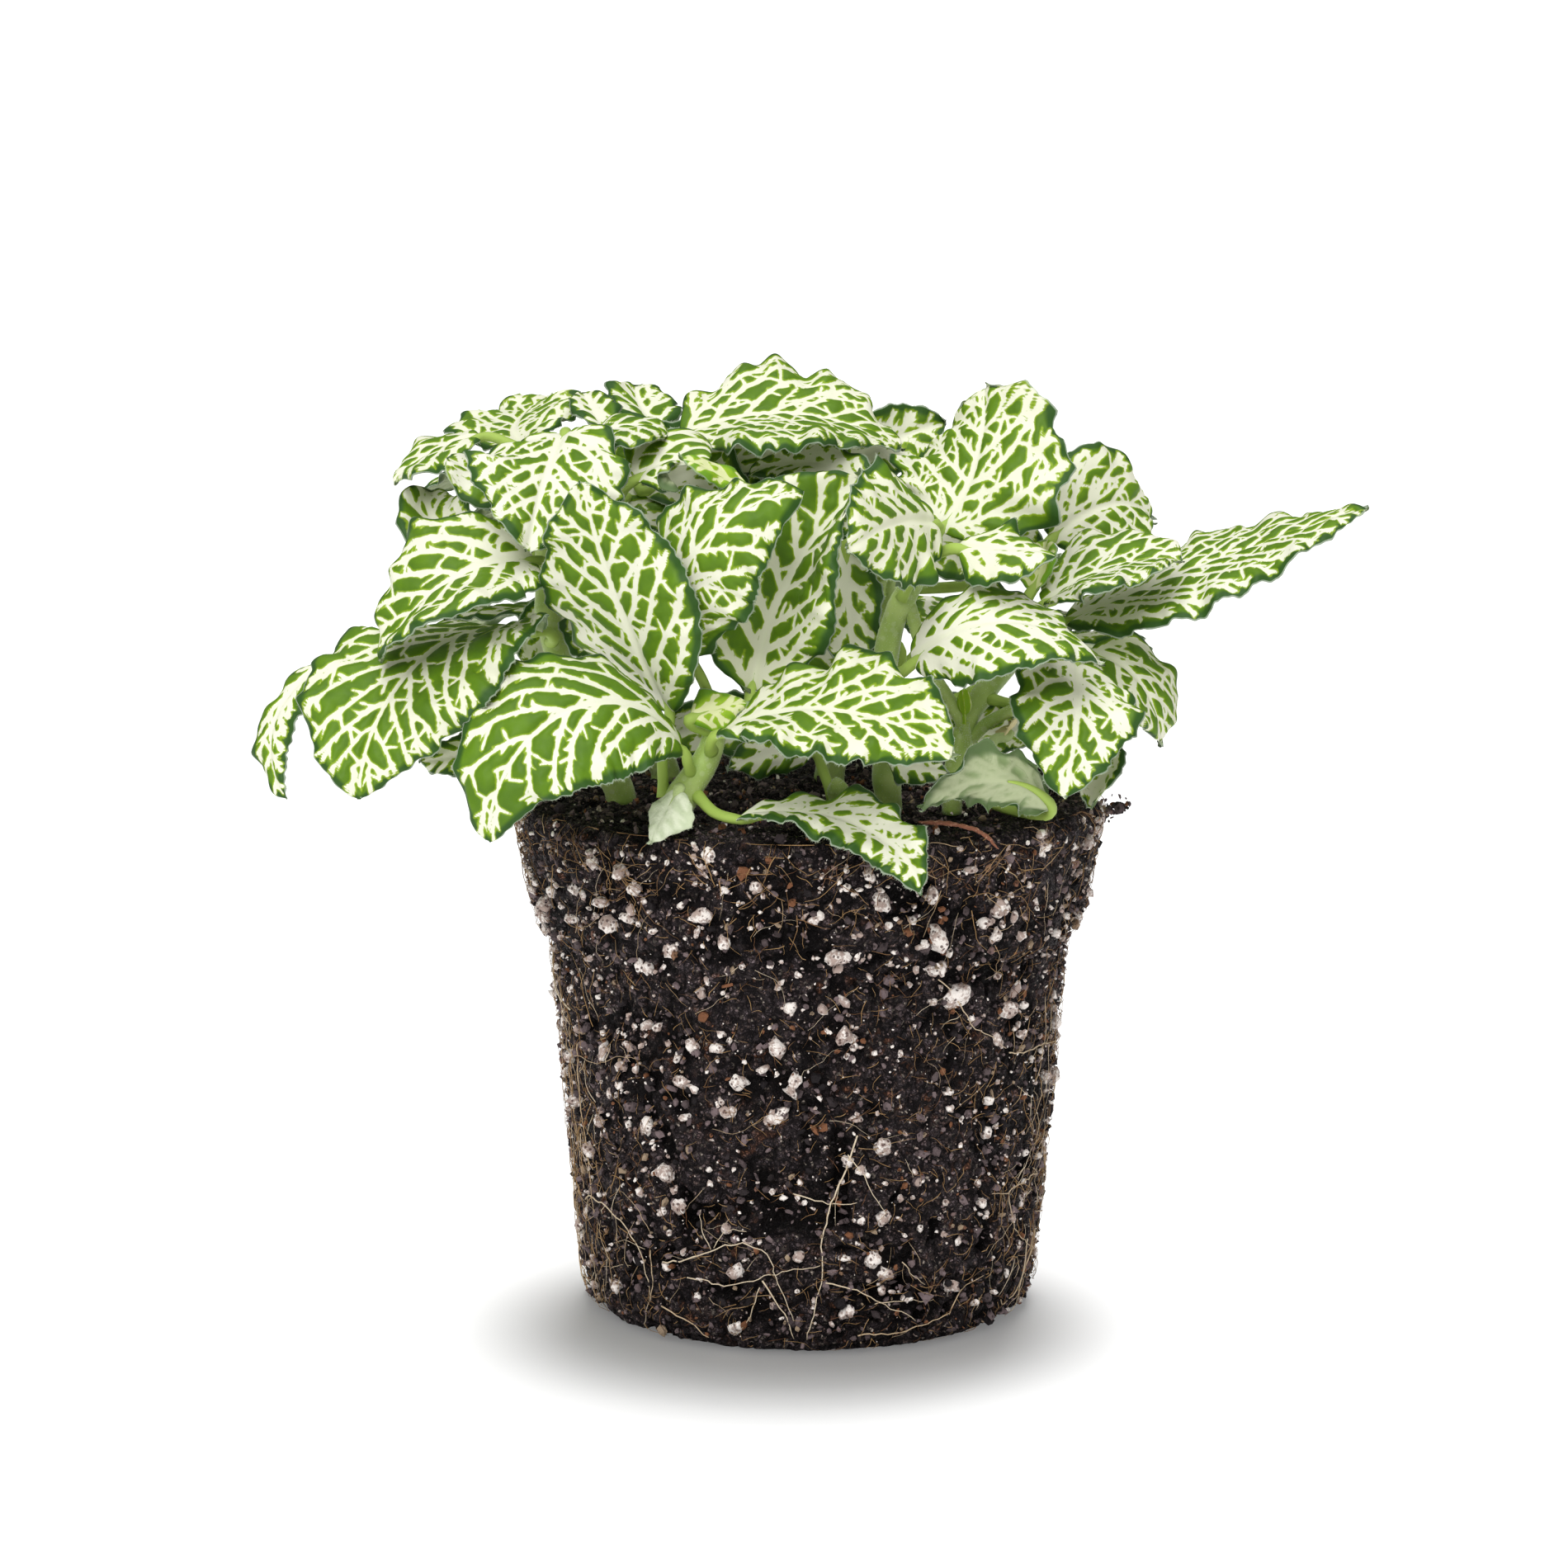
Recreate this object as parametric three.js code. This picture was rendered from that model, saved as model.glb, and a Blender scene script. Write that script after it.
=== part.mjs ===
// A nerve plant (Fittonia) lifted out of its pot: a bare, pot-shaped ball of soil and roots
// with the plant growing from its top. Millimetres, +Z up, origin at the middle of the flat
// underside of the root ball. Every leaf is one solid: a short stalk and a thin, arched blade.
import * as THREE from 'three';

// ---- root ball -------------------------------------------------------------------------
const BALL_HEIGHT = 101;
const BALL_SIDES = 40;
const BALL_PROFILE = [ // [radius, height] up the wall, as the pot has moulded it
  [40, 0], [43, 1.5], [44.2, 5], [47.2, 38], [50.3, 74], // tapered wall
  [52.6, 76], [53.6, 79], [57, 98], [55, BALL_HEIGHT],   // step out to the rim collar
];

// ---- stems -----------------------------------------------------------------------------
const SOIL_GAP = 0.3;       // clear space under each stem
const STEM_SIDES = 8;
const STEM_STEPS = 7;
const STEM_FOOT = BALL_HEIGHT + SOIL_GAP;
const STEMS = { // points of the centre line, then the radius at the foot and at the top
  front: [[[-27, -40, STEM_FOOT], [-23, -40, 108], [-19, -39, 114], [-17, -36, 121]], 3.0, 2.2],
  left: [[[-36, -12, STEM_FOOT], [-43, -14, 118], [-49, -12, 133], [-50, -8, 150], [-48, -6, 164]], 2.8, 1.9],
  back_left: [[[-28, 14, STEM_FOOT], [-36, 17, 120], [-38, 18, 140], [-34, 16, 160]], 3, 2],
  centre_back: [[[4, 10, STEM_FOOT], [8, 14, 118], [14, 13, 134], [16, 9, 148]], 3, 2],
  fore: [[[15, -22, STEM_FOOT], [14, -22, 120], [15, -22, 134], [18, -23, 142], [22, -22, 149]], 2.6, 2.1],
  right: [[[27, -23, STEM_FOOT], [28, -23, 112], [31, -21, 120], [37, -17, 127], [43, -12, 132]], 2.0, 1.8],
  short: [[[6, -26, STEM_FOOT], [5, -27, 108]], 2.0, 1.7],
};

// ---- leaves ----------------------------------------------------------------------------
const STALK_RADIUS = 1.2;
const STALK_GAP = 0.9;      // from the stem's surface to the stalk's middle at its start
const BLADE_HALF = 0.45;    // half the blade's thickness
const KEEL_DEPTH = 0.9;     // how far the midrib stands out below
const CURL = 0.18;          // how far the margin curls down, in half-widths
const TOP_MID = 0.55;       // where the upper side's middle line lies, in half-widths
const KEEL_MID = 0.3;       // where the keel meets the underside, in half-widths
const SMALL_LEAF = 24;      // shorter leaves get fewer stations
const STATIONS = [0.05, 0.16, 0.32, 0.48, 0.64, 0.8, 0.93];
const FEW_STATIONS = [0.08, 0.3, 0.6, 0.88];
// name, stem, place along the stem, base of the blade, heading, rise and roll in degrees,
// length, width, then droop, sideways bend, twist and fold over the length in degrees
const LEAVES = [
  ['front_left', 'front', 0.50, [-23, -46, 116], -140, 60, 40, 60, 32, 135, -80, 10, 0],
  ['left_low', 'left', 0.50, [-50, -27, 136], -150, 15, -20, 59, 43, 95, 5, 60, 10],
  ['left_mid', 'left', 0.70, [-51, -34, 150], -135, 15, 50, 40, 31, 90, -40, -60, 20],
  ['left_tucked', 'left', 0.75, [-64, 0, 148], -160, 15, 90, 20, 18, 95, 75, -40, 35],
  ['left_drooping', 'left', 0.55, [-92, 0, 126], -165, -20, 20, 34, 12, 60, -80, -15, 0],
  ['left_under', 'left', 0.30, [-61, -22, 114], -130, -15, 75, 17, 8, 5, 20, 0, -15],
  ['centre_left', 'front', 0.25, [-26, -39, 122], -145, 60, -180, 50, 31, 10, 5, -60, 5],
  ['crown_left', 'left', 1.00, [-46, -15, 172], -100, -10, -15, 35, 31, 45, 15, 50, 10],
  ['crown_left_back', 'left', 0.95, [-54, 6, 167], 115, 5, 15, 40, 28, 5, 60, 0, 15],
  ['crown_left_far', 'left', 1.00, [-63, 4, 169], -180, -5, 10, 20, 23, 40, -20, 0, 5],
  ['crown_left_under', 'left', 0.85, [-56, -11, 162], -160, 10, 30, 14, 18, -15, 30, 5, 0],
  ['crown_mid_back', 'back_left', 1.00, [-29, 28, 168], 120, 20, 0, 24, 16, 5, 30, 0, 20],
  ['crown_mid_small', 'left', 0.75, [-39, 8, 170], 110, 20, 5, 19, 11, 5, 5, 0, 20],
  ['crown_mid', 'back_left', 0.95, [-33, -16, 163], 25, 40, -25, 16, 27, 5, 80, 45, 10],
  ['crown_top', 'back_left', 1.00, [-25, 7, 169], -5, 25, -25, 45, 41, 55, 15, 10, 15],
  ['crown_top_under', 'centre_back', 0.80, [12, -11, 160], 135, 30, 40, 33, 12, 35, -45, 10, 15],
  ['centre', 'front', 1.00, [-22, -37, 132], -130, 40, 180, 51, 28, 105, 80, 30, -10],
  ['centre_right', 'front', 0.95, [-11, -34, 125], 55, 75, -40, 47, 40, -15, 40, 60, 40],
  ['left_inner', 'left', 0.65, [-43, -9, 139], -60, -30, -5, 22, 17, 0, -5, 0, 0],
  ['front_right', 'front', 0.70, [-17, -49, 120], -20, 30, -10, 50, 29, 60, 20, -50, 15],
  ['front_tail', 'fore', 0.25, [14, -34, 115], -65, -15, -60, 20, 8, 10, -25, 0, 0],
  ['rim_front', 'front', 0.35, [-14, -48, 104], -5, 15, 0, 49, 17, 50, 70, -40, 15],
  ['rim_right', 'right', 0.10, [45, -40, 104], -125, 50, -90, 32, 13, -60, 80, 40, 25],
  ['shaded_front', 'short', 0.45, [1, -22, 112], -135, 15, 75, 21, 10, 25, -30, 5, -10],
  ['right_hanging', 'right', 0.90, [50, -27, 130], -90, -5, 25, 38, 25, 60, -15, -35, 10],
  ['right_side', 'right', 1.00, [53, -8, 129], -20, -5, -25, 25, 31, 75, 40, 25, 5],
  ['right_centre', 'fore', 0.55, [19, -36, 131], -45, 50, -75, 42, 27, 95, 60, 55, 0],
  ['right_low', 'right', 0.60, [56, -32, 115], -100, -35, -10, 15, 12, 10, 20, 0, 35],
  ['right_fore', 'fore', 0.85, [24, -27, 156], -110, 15, 60, 40, 25, 25, -20, 15, 0],
  ['right_fore_small', 'fore', 1.00, [27, -31, 152], -40, 10, -60, 21, 16, 40, 0, 50, -10],
  ['right_upright', 'fore', 1.00, [24.2, -20.5, 153.8], 15, 50, -50, 32, 38, 15, -50, 30, 0],
  ['right_back', 'centre_back', 0.80, [47, 12, 148], 20, 45, -85, 31, 26, 50, 75, 15, 10],
  ['right_upper', 'right', 1.00, [44, -14, 139], 5, 40, -5, 29, 37, 40, 20, -5, 15],
  ['right_long', 'right', 0.95, [49, -2, 134], -5, 25, -20, 62, 36, 5, 5, 10, 5],
  ['right_young', 'right', 0.95, [42, -12, 141], 30, 60, -30, 13, 8, 30, -40, 5, 25],
  ['back_pale', 'centre_back', 0.80, [19, 30, 132], 125, 15, 85, 19, 14, -25, -5, 0, 25],
  ['back_dark', 'centre_back', 0.35, [18, 16, 126], 135, 30, 90, 19, 13, 10, -15, 0, 20],
  ['crown_inner_right', 'centre_back', 0.95, [14, -5, 150], 125, 30, 5, 16, 14, -60, -80, -15, 0],
  ['young_front', 'front', 0.85, [-22.5, -42.5, 121.5], 0, 30, -60, 12, 9, 25, 20, -5, -15],
  ['young_folded', 'back_left', 0.85, [-11, -23, 162], -170, 30, 30, 15, 8, 5, -5, 0, 5],
  ['crown_left_right', 'left', 0.95, [-42, -8, 169], -10, 45, -15, 17, 24, 80, 0, 0, 5],
  ['withered', 'front', 0.15, [-24, -48, 110], -140, -45, 10, 12, 11, 20, 0, 0, -15],
  ['back_left_low', 'back_left', 0.40, [-38, 22, 128], 140, 25, 0, 52, 38, 70, 0, 0, 10],
  ['back_centre_low', 'centre_back', 0.40, [-10, 30, 124], 95, 30, 0, 50, 36, 80, 0, 0, 10],
  ['back_right_low', 'centre_back', 0.40, [24, 28, 126], 60, 25, 0, 52, 38, 75, 0, 0, 10],
  ['back_left_high', 'back_left', 0.80, [-42, 22, 150], 115, 20, 0, 44, 34, 60, 0, 0, 10],
  ['back_centre_high', 'centre_back', 0.95, [0, 26, 144], 75, 8, 0, 46, 34, 70, 0, 0, 10],
  ['back_right_high', 'centre_back', 0.90, [28, 22, 150], 45, 20, 0, 44, 32, 60, 0, 0, 10],
  ['back_left_crown', 'back_left', 0.90, [-48, 26, 158], 150, 15, 0, 36, 30, 50, 0, 0, 10],
  ['back_right_side', 'centre_back', 0.25, [45, 21, 126.5], 64, 10, 0, 40, 32, 60, 0, 0, 10],
  ['back_left_side', 'back_left', 0.45, [-60, 13, 128], 160, 10, 0, 42, 32, 60, 0, 0, 10],
];

// ---- bark chip -------------------------------------------------------------------------
const CHIP_PATH = [[20, -46.5, 103], [26, -49, 103.2], [31.5, -52.5, 102.2], [34.5, -54.5, 99.5]];
const CHIP_WIDTH = 2.2;
const CHIP_THICKNESS = 0.9;

const material = (color, roughness) => new THREE.MeshStandardMaterial({ color, roughness, metalness: 0 });
const SOIL = material(0x2b1d16, 0.95);
const STEM_GREEN = material(0x93ad4e, 0.6);
const LEAF_GREEN = material(0x6f9c45, 0.5);
const YOUNG_GREEN = material(0xa3b84a, 0.5);
const WITHERED = material(0xc9cba6, 0.8);
const BARK = material(0x8a4a2c, 0.85);

const vec = (p) => new THREE.Vector3(...p);
const rad = THREE.MathUtils.degToRad;

// A closed skin over rings of equal count: quads between rings, a fan at each end. The
// diagonals mirror about the ring's middle, so both faces of a thin blade bend alike.
function loft(rings, start, end) {
  const sides = rings[0].length;
  const points = [...rings.flat(), start, end];
  const faces = [];
  for (let k = 0; k + 1 < rings.length; k++) {
    for (let j = 0; j < sides; j++) {
      const a = k * sides + j;
      const b = k * sides + ((j + 1) % sides);
      const [c, d] = [a + sides, b + sides];
      if (j % (sides / 2) < sides / 4) faces.push(a, b, d, a, d, c);
      else faces.push(a, b, c, b, d, c);
    }
  }
  const first = points.length - 2;
  const last = (rings.length - 1) * sides;
  for (let j = 0; j < sides; j++) {
    const next = (j + 1) % sides;
    faces.push(first, next, j, first + 1, last + j, last + next);
  }
  const geometry = new THREE.BufferGeometry();
  geometry.setAttribute('position', new THREE.Float32BufferAttribute(points.flatMap((p) => p.toArray()), 3));
  geometry.setIndex(faces);
  geometry.computeVertexNormals();
  return geometry;
}

function rootBall() {
  const profile = [[0, 0], ...BALL_PROFILE, [0, BALL_HEIGHT]].map(([r, z]) => new THREE.Vector2(r, z));
  return new THREE.LatheGeometry(profile, BALL_SIDES).rotateX(Math.PI / 2);
}

function stemCurve(name) {
  return new THREE.CatmullRomCurve3(STEMS[name][0].map(vec));
}

function stemRadius(name, along) {
  return THREE.MathUtils.lerp(STEMS[name][1], STEMS[name][2], along);
}

// Level round rings, except near the top where a ring faces along the stem.
function stem(name) {
  const curve = stemCurve(name);
  const rings = [];
  for (let i = 0; i <= STEM_STEPS; i++) {
    const along = i / STEM_STEPS;
    const tangent = i === 0 ? new THREE.Vector3(0, 0, 1) : curve.getTangentAt(along);
    const turn = new THREE.Quaternion().setFromUnitVectors(new THREE.Vector3(0, 0, 1), tangent);
    const ring = [];
    for (let j = 0; j < STEM_SIDES; j++) {
      const angle = (2 * Math.PI * j) / STEM_SIDES;
      const r = stemRadius(name, along);
      ring.push(new THREE.Vector3(r * Math.cos(angle), r * Math.sin(angle), 0)
        .applyQuaternion(turn).add(curve.getPointAt(along)));
    }
    rings.push(ring);
  }
  return loft(rings, curve.getPointAt(0), curve.getPointAt(1));
}

// The blade's own axes at its base: ahead along the midrib, right across it, up out of it.
function bladeAxes(heading, rise, roll) {
  const [h, e, o] = [heading, rise, roll].map(rad);
  const ahead = new THREE.Vector3(Math.cos(e) * Math.cos(h), Math.cos(e) * Math.sin(h), Math.sin(e));
  const level = new THREE.Vector3(Math.sin(h), -Math.cos(h), 0);
  const above = level.clone().cross(ahead);
  const right = level.clone().multiplyScalar(Math.cos(o)).addScaledVector(above, Math.sin(o));
  const up = above.multiplyScalar(Math.cos(o)).addScaledVector(level, -Math.sin(o));
  return { ahead, right, up };
}

// Half the width of the blade at part s of its length: oval, widest below the middle.
const outline = (s) => Math.sin(Math.PI * s ** 0.85) ** 0.75;

// The midrib is a circular arc that turns by droop downwards and by bend sideways. The
// function gives a point of the blade at s along it, v across it and lift out of it.
function bladeSurface(base, axes, length, width, droop, bend, twist, fold) {
  const turn = rad(Math.max(Math.hypot(droop, bend), 0.1));
  const toward = axes.right.clone().multiplyScalar(bend).addScaledVector(axes.up, -droop).normalize();
  return (s, v, lift) => {
    const [sin, cos] = [Math.sin(turn * s), Math.cos(turn * s)];
    const carried = (axis) => axis.clone()
      .addScaledVector(toward, axis.dot(toward) * (cos - 1))
      .addScaledVector(axes.ahead, -axis.dot(toward) * sin);
    const [right, up] = [carried(axes.right), carried(axes.up)];
    const spin = rad(twist) * s;
    const across = right.clone().multiplyScalar(Math.cos(spin)).addScaledVector(up, Math.sin(spin));
    const out = up.multiplyScalar(Math.cos(spin)).addScaledVector(right, -Math.sin(spin));
    const half = (width / 2) * outline(s);
    const sag = half * (Math.abs(v) * Math.sin(rad(fold)) - CURL * v * v);
    return base.clone()
      .addScaledVector(axes.ahead, (length / turn) * sin)
      .addScaledVector(toward, (length / turn) * (1 - cos))
      .addScaledVector(across, half * v * Math.cos(rad(fold)))
      .addScaledVector(out, sag + lift);
  };
}

// The stalk leaves the stem square to it and meets the blade along the midrib.
function stalkCurve(stemName, along, base, ahead) {
  const curve = stemCurve(stemName);
  const root = curve.getPointAt(along);
  const tangent = curve.getTangentAt(along);
  const out = base.clone().sub(root);
  if (along < 1) out.addScaledVector(tangent, -out.dot(tangent));
  out.normalize();
  const start = root.addScaledVector(out, stemRadius(stemName, along) + STALK_GAP);
  const third = start.distanceTo(base) / 3;
  return new THREE.CubicBezierCurve3(start, start.clone().addScaledVector(out, third),
    base.clone().addScaledVector(ahead, -third), base);
}

function stalkRing(curve, along, side) {
  const tangent = curve.getTangent(along);
  const right = side.clone().addScaledVector(tangent, -side.dot(tangent)).normalize();
  const up = right.clone().cross(tangent);
  return Array.from({ length: 8 }, (_, j) => {
    const angle = Math.PI - (Math.PI / 4) * j;
    return curve.getPoint(along)
      .addScaledVector(right, STALK_RADIUS * Math.cos(angle))
      .addScaledVector(up, STALK_RADIUS * Math.sin(angle));
  });
}

function leaf([, stemName, along, place, heading, rise, roll, length, width, droop, bend, twist, fold]) {
  const base = vec(place);
  const axes = bladeAxes(heading, rise, roll);
  const surface = bladeSurface(base, axes, length, width, droop, bend, twist, fold);
  const stalk = stalkCurve(stemName, along, base, axes.ahead);
  const rings = [0, 0.5, 1].map((u) => stalkRing(stalk, u, axes.right));
  for (const s of length < SMALL_LEAF ? FEW_STATIONS : STATIONS) {
    rings.push([
      surface(s, -1, 0), surface(s, -TOP_MID, BLADE_HALF), surface(s, 0, BLADE_HALF),
      surface(s, TOP_MID, BLADE_HALF), surface(s, 1, 0), surface(s, KEEL_MID, -BLADE_HALF),
      surface(s, 0, -KEEL_DEPTH), surface(s, -KEEL_MID, -BLADE_HALF),
    ]);
  }
  return loft(rings, stalk.getPoint(0), surface(1, 0, 0));
}

// A flat sliver: a small rectangle carried along its path.
function barkChip() {
  const [w, t] = [CHIP_WIDTH / 2, CHIP_THICKNESS / 2];
  const section = new THREE.Shape([[-t, -w], [t, -w], [t, w], [-t, w]].map((p) => new THREE.Vector2(...p)));
  const path = new THREE.CatmullRomCurve3(CHIP_PATH.map(vec));
  return new THREE.ExtrudeGeometry(section, { steps: 6, extrudePath: path });
}

const plant = new THREE.Group();

function add(name, geometry, finish) {
  const mesh = new THREE.Mesh(geometry, finish);
  mesh.name = name;
  plant.add(mesh);
}

function leafFinish(name) {
  if (name.startsWith('withered')) return WITHERED;
  return name.startsWith('young') ? YOUNG_GREEN : LEAF_GREEN;
}

add('root_ball', rootBall(), SOIL);
add('bark_chip', barkChip(), BARK);
for (const name of Object.keys(STEMS)) add(`stem_${name}`, stem(name), STEM_GREEN);
for (const row of LEAVES) add(`leaf_${row[0]}`, leaf(row), leafFinish(row[0]));

export default plant;
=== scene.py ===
"""A white-veined nerve plant standing on its bare root ball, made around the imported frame.

Shapes are worked out in millimetres and written to meshes in metres. Each leaf takes its
stalk, midrib, margins and upper side from its own solid in the frame.
"""

import bpy
import numpy as np
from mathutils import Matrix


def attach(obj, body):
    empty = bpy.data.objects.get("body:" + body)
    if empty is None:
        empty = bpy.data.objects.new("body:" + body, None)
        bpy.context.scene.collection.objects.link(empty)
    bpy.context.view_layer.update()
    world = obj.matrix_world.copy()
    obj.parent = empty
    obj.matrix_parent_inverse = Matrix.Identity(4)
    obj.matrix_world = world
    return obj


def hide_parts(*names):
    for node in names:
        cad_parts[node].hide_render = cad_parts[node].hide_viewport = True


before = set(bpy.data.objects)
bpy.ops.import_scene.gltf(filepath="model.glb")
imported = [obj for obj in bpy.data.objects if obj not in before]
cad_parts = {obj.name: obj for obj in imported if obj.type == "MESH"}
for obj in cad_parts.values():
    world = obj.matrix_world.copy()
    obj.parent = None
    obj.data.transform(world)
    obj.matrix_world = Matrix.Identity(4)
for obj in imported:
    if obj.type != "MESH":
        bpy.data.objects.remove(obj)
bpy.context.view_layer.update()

MM = 0.001
CAMERA_PLACE = (-0.0048, -0.990, 0.2766)  # metres; it looks along +Y, a little down
CAMERA_PITCH = 10.0                       # degrees below level
CAMERA_LENS = 119.2                       # millimetres on a 36 mm sensor

# ---- numbers and noise -------------------------------------------------------------------


def lattice(ix, iy, iz, seed):
    """A repeatable value from 0 to 1 for each whole-numbered lattice point."""
    mixed = (ix * 73856093) ^ (iy * 19349663) ^ (iz * 83492791) ^ (seed * 2654435761)
    mixed = (mixed ^ (mixed >> 13)) * 1274126177
    return ((mixed ^ (mixed >> 16)) & 0xFFFF) / 65535.0


def noise(points, cell, seed):
    """Smooth value noise from -1 to 1: lattice values eased between the corners of a cube."""
    scaled = np.asarray(points, float) / cell
    low = np.floor(scaled).astype(np.int64)
    part = scaled - low
    ease = part * part * (3 - 2 * part)
    total = 0.0
    for corner in range(8):
        dx, dy, dz = corner & 1, (corner >> 1) & 1, corner >> 2
        weight = (np.where(dx, ease[..., 0], 1 - ease[..., 0])
                  * np.where(dy, ease[..., 1], 1 - ease[..., 1])
                  * np.where(dz, ease[..., 2], 1 - ease[..., 2]))
        total = total + weight * lattice(low[..., 0] + dx, low[..., 1] + dy, low[..., 2] + dz, seed)
    return 2 * total - 1


def through(knots, values, at):
    """A smooth curve through values at knots: cubic steps whose slopes are central differences."""
    knots = np.asarray(knots, float)
    values = np.asarray(values, float)
    slopes = np.gradient(values, knots, axis=0)
    k = np.clip(np.searchsorted(knots, at, side="right") - 1, 0, len(knots) - 2)
    span = knots[k + 1] - knots[k]
    t = ((at - knots[k]) / span)[:, None]
    span = span[:, None]
    return ((2 * t**3 - 3 * t**2 + 1) * values[k] + (t**3 - 2 * t**2 + t) * span * slopes[k]
            + (3 * t**2 - 2 * t**3) * values[k + 1] + (t**3 - t**2) * span * slopes[k + 1])


def unit(vectors):
    """Vectors scaled to length one."""
    return vectors / np.maximum(np.linalg.norm(vectors, axis=-1, keepdims=True), 1e-9)


def run_length(points):
    """How far along a line of points each point lies."""
    steps = np.linalg.norm(np.diff(points, axis=0), axis=1)
    return np.concatenate([[0.0], np.cumsum(steps)])


# ---- meshes ------------------------------------------------------------------------------


def grid_faces(rows, columns, closed=False):
    """Quads between the rows of a grid of points; closed joins the last column to the first."""
    across = columns if closed else columns - 1
    i, j = np.meshgrid(np.arange(rows - 1), np.arange(across), indexing="ij")
    j2 = (j + 1) % columns
    return np.stack([i * columns + j, i * columns + j2,
                     (i + 1) * columns + j2, (i + 1) * columns + j], -1).reshape(-1, 4)


def put(name, data):
    """A new object in the scene that shows some data."""
    made = bpy.data.objects.new(name, data)
    bpy.context.scene.collection.objects.link(made)
    return made


def piece(name, points, faces, material, attributes=None, smooth=True):
    """A mesh object from points in millimetres and an array of quads or triangles."""
    mesh = bpy.data.meshes.new(name)
    sides = faces.shape[1]
    mesh.vertices.add(len(points))
    mesh.vertices.foreach_set("co", (np.asarray(points) * MM).astype(np.float32).ravel())
    mesh.loops.add(faces.size)
    mesh.loops.foreach_set("vertex_index", faces.astype(np.int32).ravel())
    mesh.polygons.add(len(faces))
    mesh.polygons.foreach_set("loop_start", np.arange(0, faces.size, sides, dtype=np.int32))
    mesh.polygons.foreach_set("use_smooth", np.full(len(faces), smooth))
    mesh.update(calc_edges=True)
    for label, values in (attributes or {}).items():
        layer = mesh.attributes.new(label, "FLOAT", "POINT")
        layer.data.foreach_set("value", np.asarray(values, np.float32))
    mesh.materials.append(material)
    made = put(name, mesh)
    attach(made, "root")
    return made


def tube(path, radius, sides, flat=1.0, side=(0.0, 0.0, 1.0)):
    """A closed round tube: rings square to the path, drawn to a point at both ends.

    flat squeezes the section across the direction that side gives. Returns points, quads.
    """
    ahead = unit(np.gradient(path, axis=0))
    across = unit(np.cross(ahead, np.broadcast_to(side, ahead.shape)))
    up = np.cross(across, ahead)
    angle = np.linspace(0, 2 * np.pi, sides, endpoint=False)
    ring = (across[:, None] * np.cos(angle)[None, :, None]
            + up[:, None] * flat * np.sin(angle)[None, :, None])
    radius = np.broadcast_to(radius, len(path))[:, None, None]
    body = path[:, None] + ring * radius
    ends = [np.repeat(body[k].mean(0)[None], sides, 0)[None] for k in (0, -1)]
    body = np.concatenate([ends[0], body, ends[1]])
    return body.reshape(-1, 3), grid_faces(len(body), sides, closed=True)


def joined(parts):
    """Several (points, faces) as one, with the count of points in each."""
    offsets = np.cumsum([0] + [len(p) for p, _ in parts[:-1]])
    points = np.concatenate([p for p, _ in parts])
    faces = np.concatenate([f + o for (_, f), o in zip(parts, offsets)])
    return points, faces, [len(p) for p, _ in parts]


def welded(points, faces):
    """The same surface with points that coincide made one, and quads as triangles."""
    _, first, back = np.unique(np.round(points, 4), axis=0, return_index=True, return_inverse=True)
    faces = back.reshape(-1)[faces]
    if faces.shape[1] == 4:
        faces = np.concatenate([faces[:, [0, 1, 2]], faces[:, [0, 2, 3]]])
    real = ((faces[:, 0] != faces[:, 1]) & (faces[:, 1] != faces[:, 2]) & (faces[:, 0] != faces[:, 2]))
    return points[first], faces[real], first


# ---- what the frame says -----------------------------------------------------------------

ACROSS = np.array([-1.0, -0.55, 0.0, 0.55, 1.0])  # where the upper side's points lie across a blade


def outline(s):
    """Half the blade's width as a share of its greatest: oval, widest below the middle."""
    return np.sin(np.pi * np.clip(s, 0, 1) ** 0.85) ** 0.75


def solid(node):
    """Points in millimetres and triangles of a node of the frame, its seams welded."""
    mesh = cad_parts[node].data
    points = np.zeros(len(mesh.vertices) * 3, np.float32)
    mesh.vertices.foreach_get("co", points)
    mesh.calc_loop_triangles()
    corners = np.zeros(len(mesh.loop_triangles) * 3, np.int32)
    mesh.loop_triangles.foreach_get("vertices", corners)
    points, faces, _ = welded(points.reshape(-1, 3).astype(float) / MM, corners.reshape(-1, 3))
    return points, faces


def rings_of(node):
    """The rings that a stem or leaf is lofted from, between its two end points.

    Its end points are the two that eight edges meet in. From the first, each ring is the
    set of new neighbours of the last one. Returns points, joins (who touches whom), rings.
    """
    points, faces = solid(node)
    joins = np.zeros((len(points), len(points)), bool)
    for a, b in ((0, 1), (1, 2), (2, 0)):
        joins[faces[:, a], faces[:, b]] = True
        joins[faces[:, b], faces[:, a]] = True
    poles = np.flatnonzero(joins.sum(0) == 8)
    seen = np.zeros(len(points), bool)
    layer = seen.copy()
    layer[poles[0]] = True
    layers = []
    while layer.any():
        layers.append(np.flatnonzero(layer))
        seen |= layer
        layer = joins[layer].any(0) & ~seen
    return points, joins, layers


def ring_reach(points, ring):
    """How far the points of a ring lie from their middle, on average."""
    return np.linalg.norm(points[ring] - points[ring].mean(0), axis=1).mean()


def flatness(points, ring):
    """A ring's furthest point from its middle over its nearest: 1 for a round ring."""
    reach = np.linalg.norm(points[ring] - points[ring].mean(0), axis=1)
    return reach.max() / reach.min()


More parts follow.
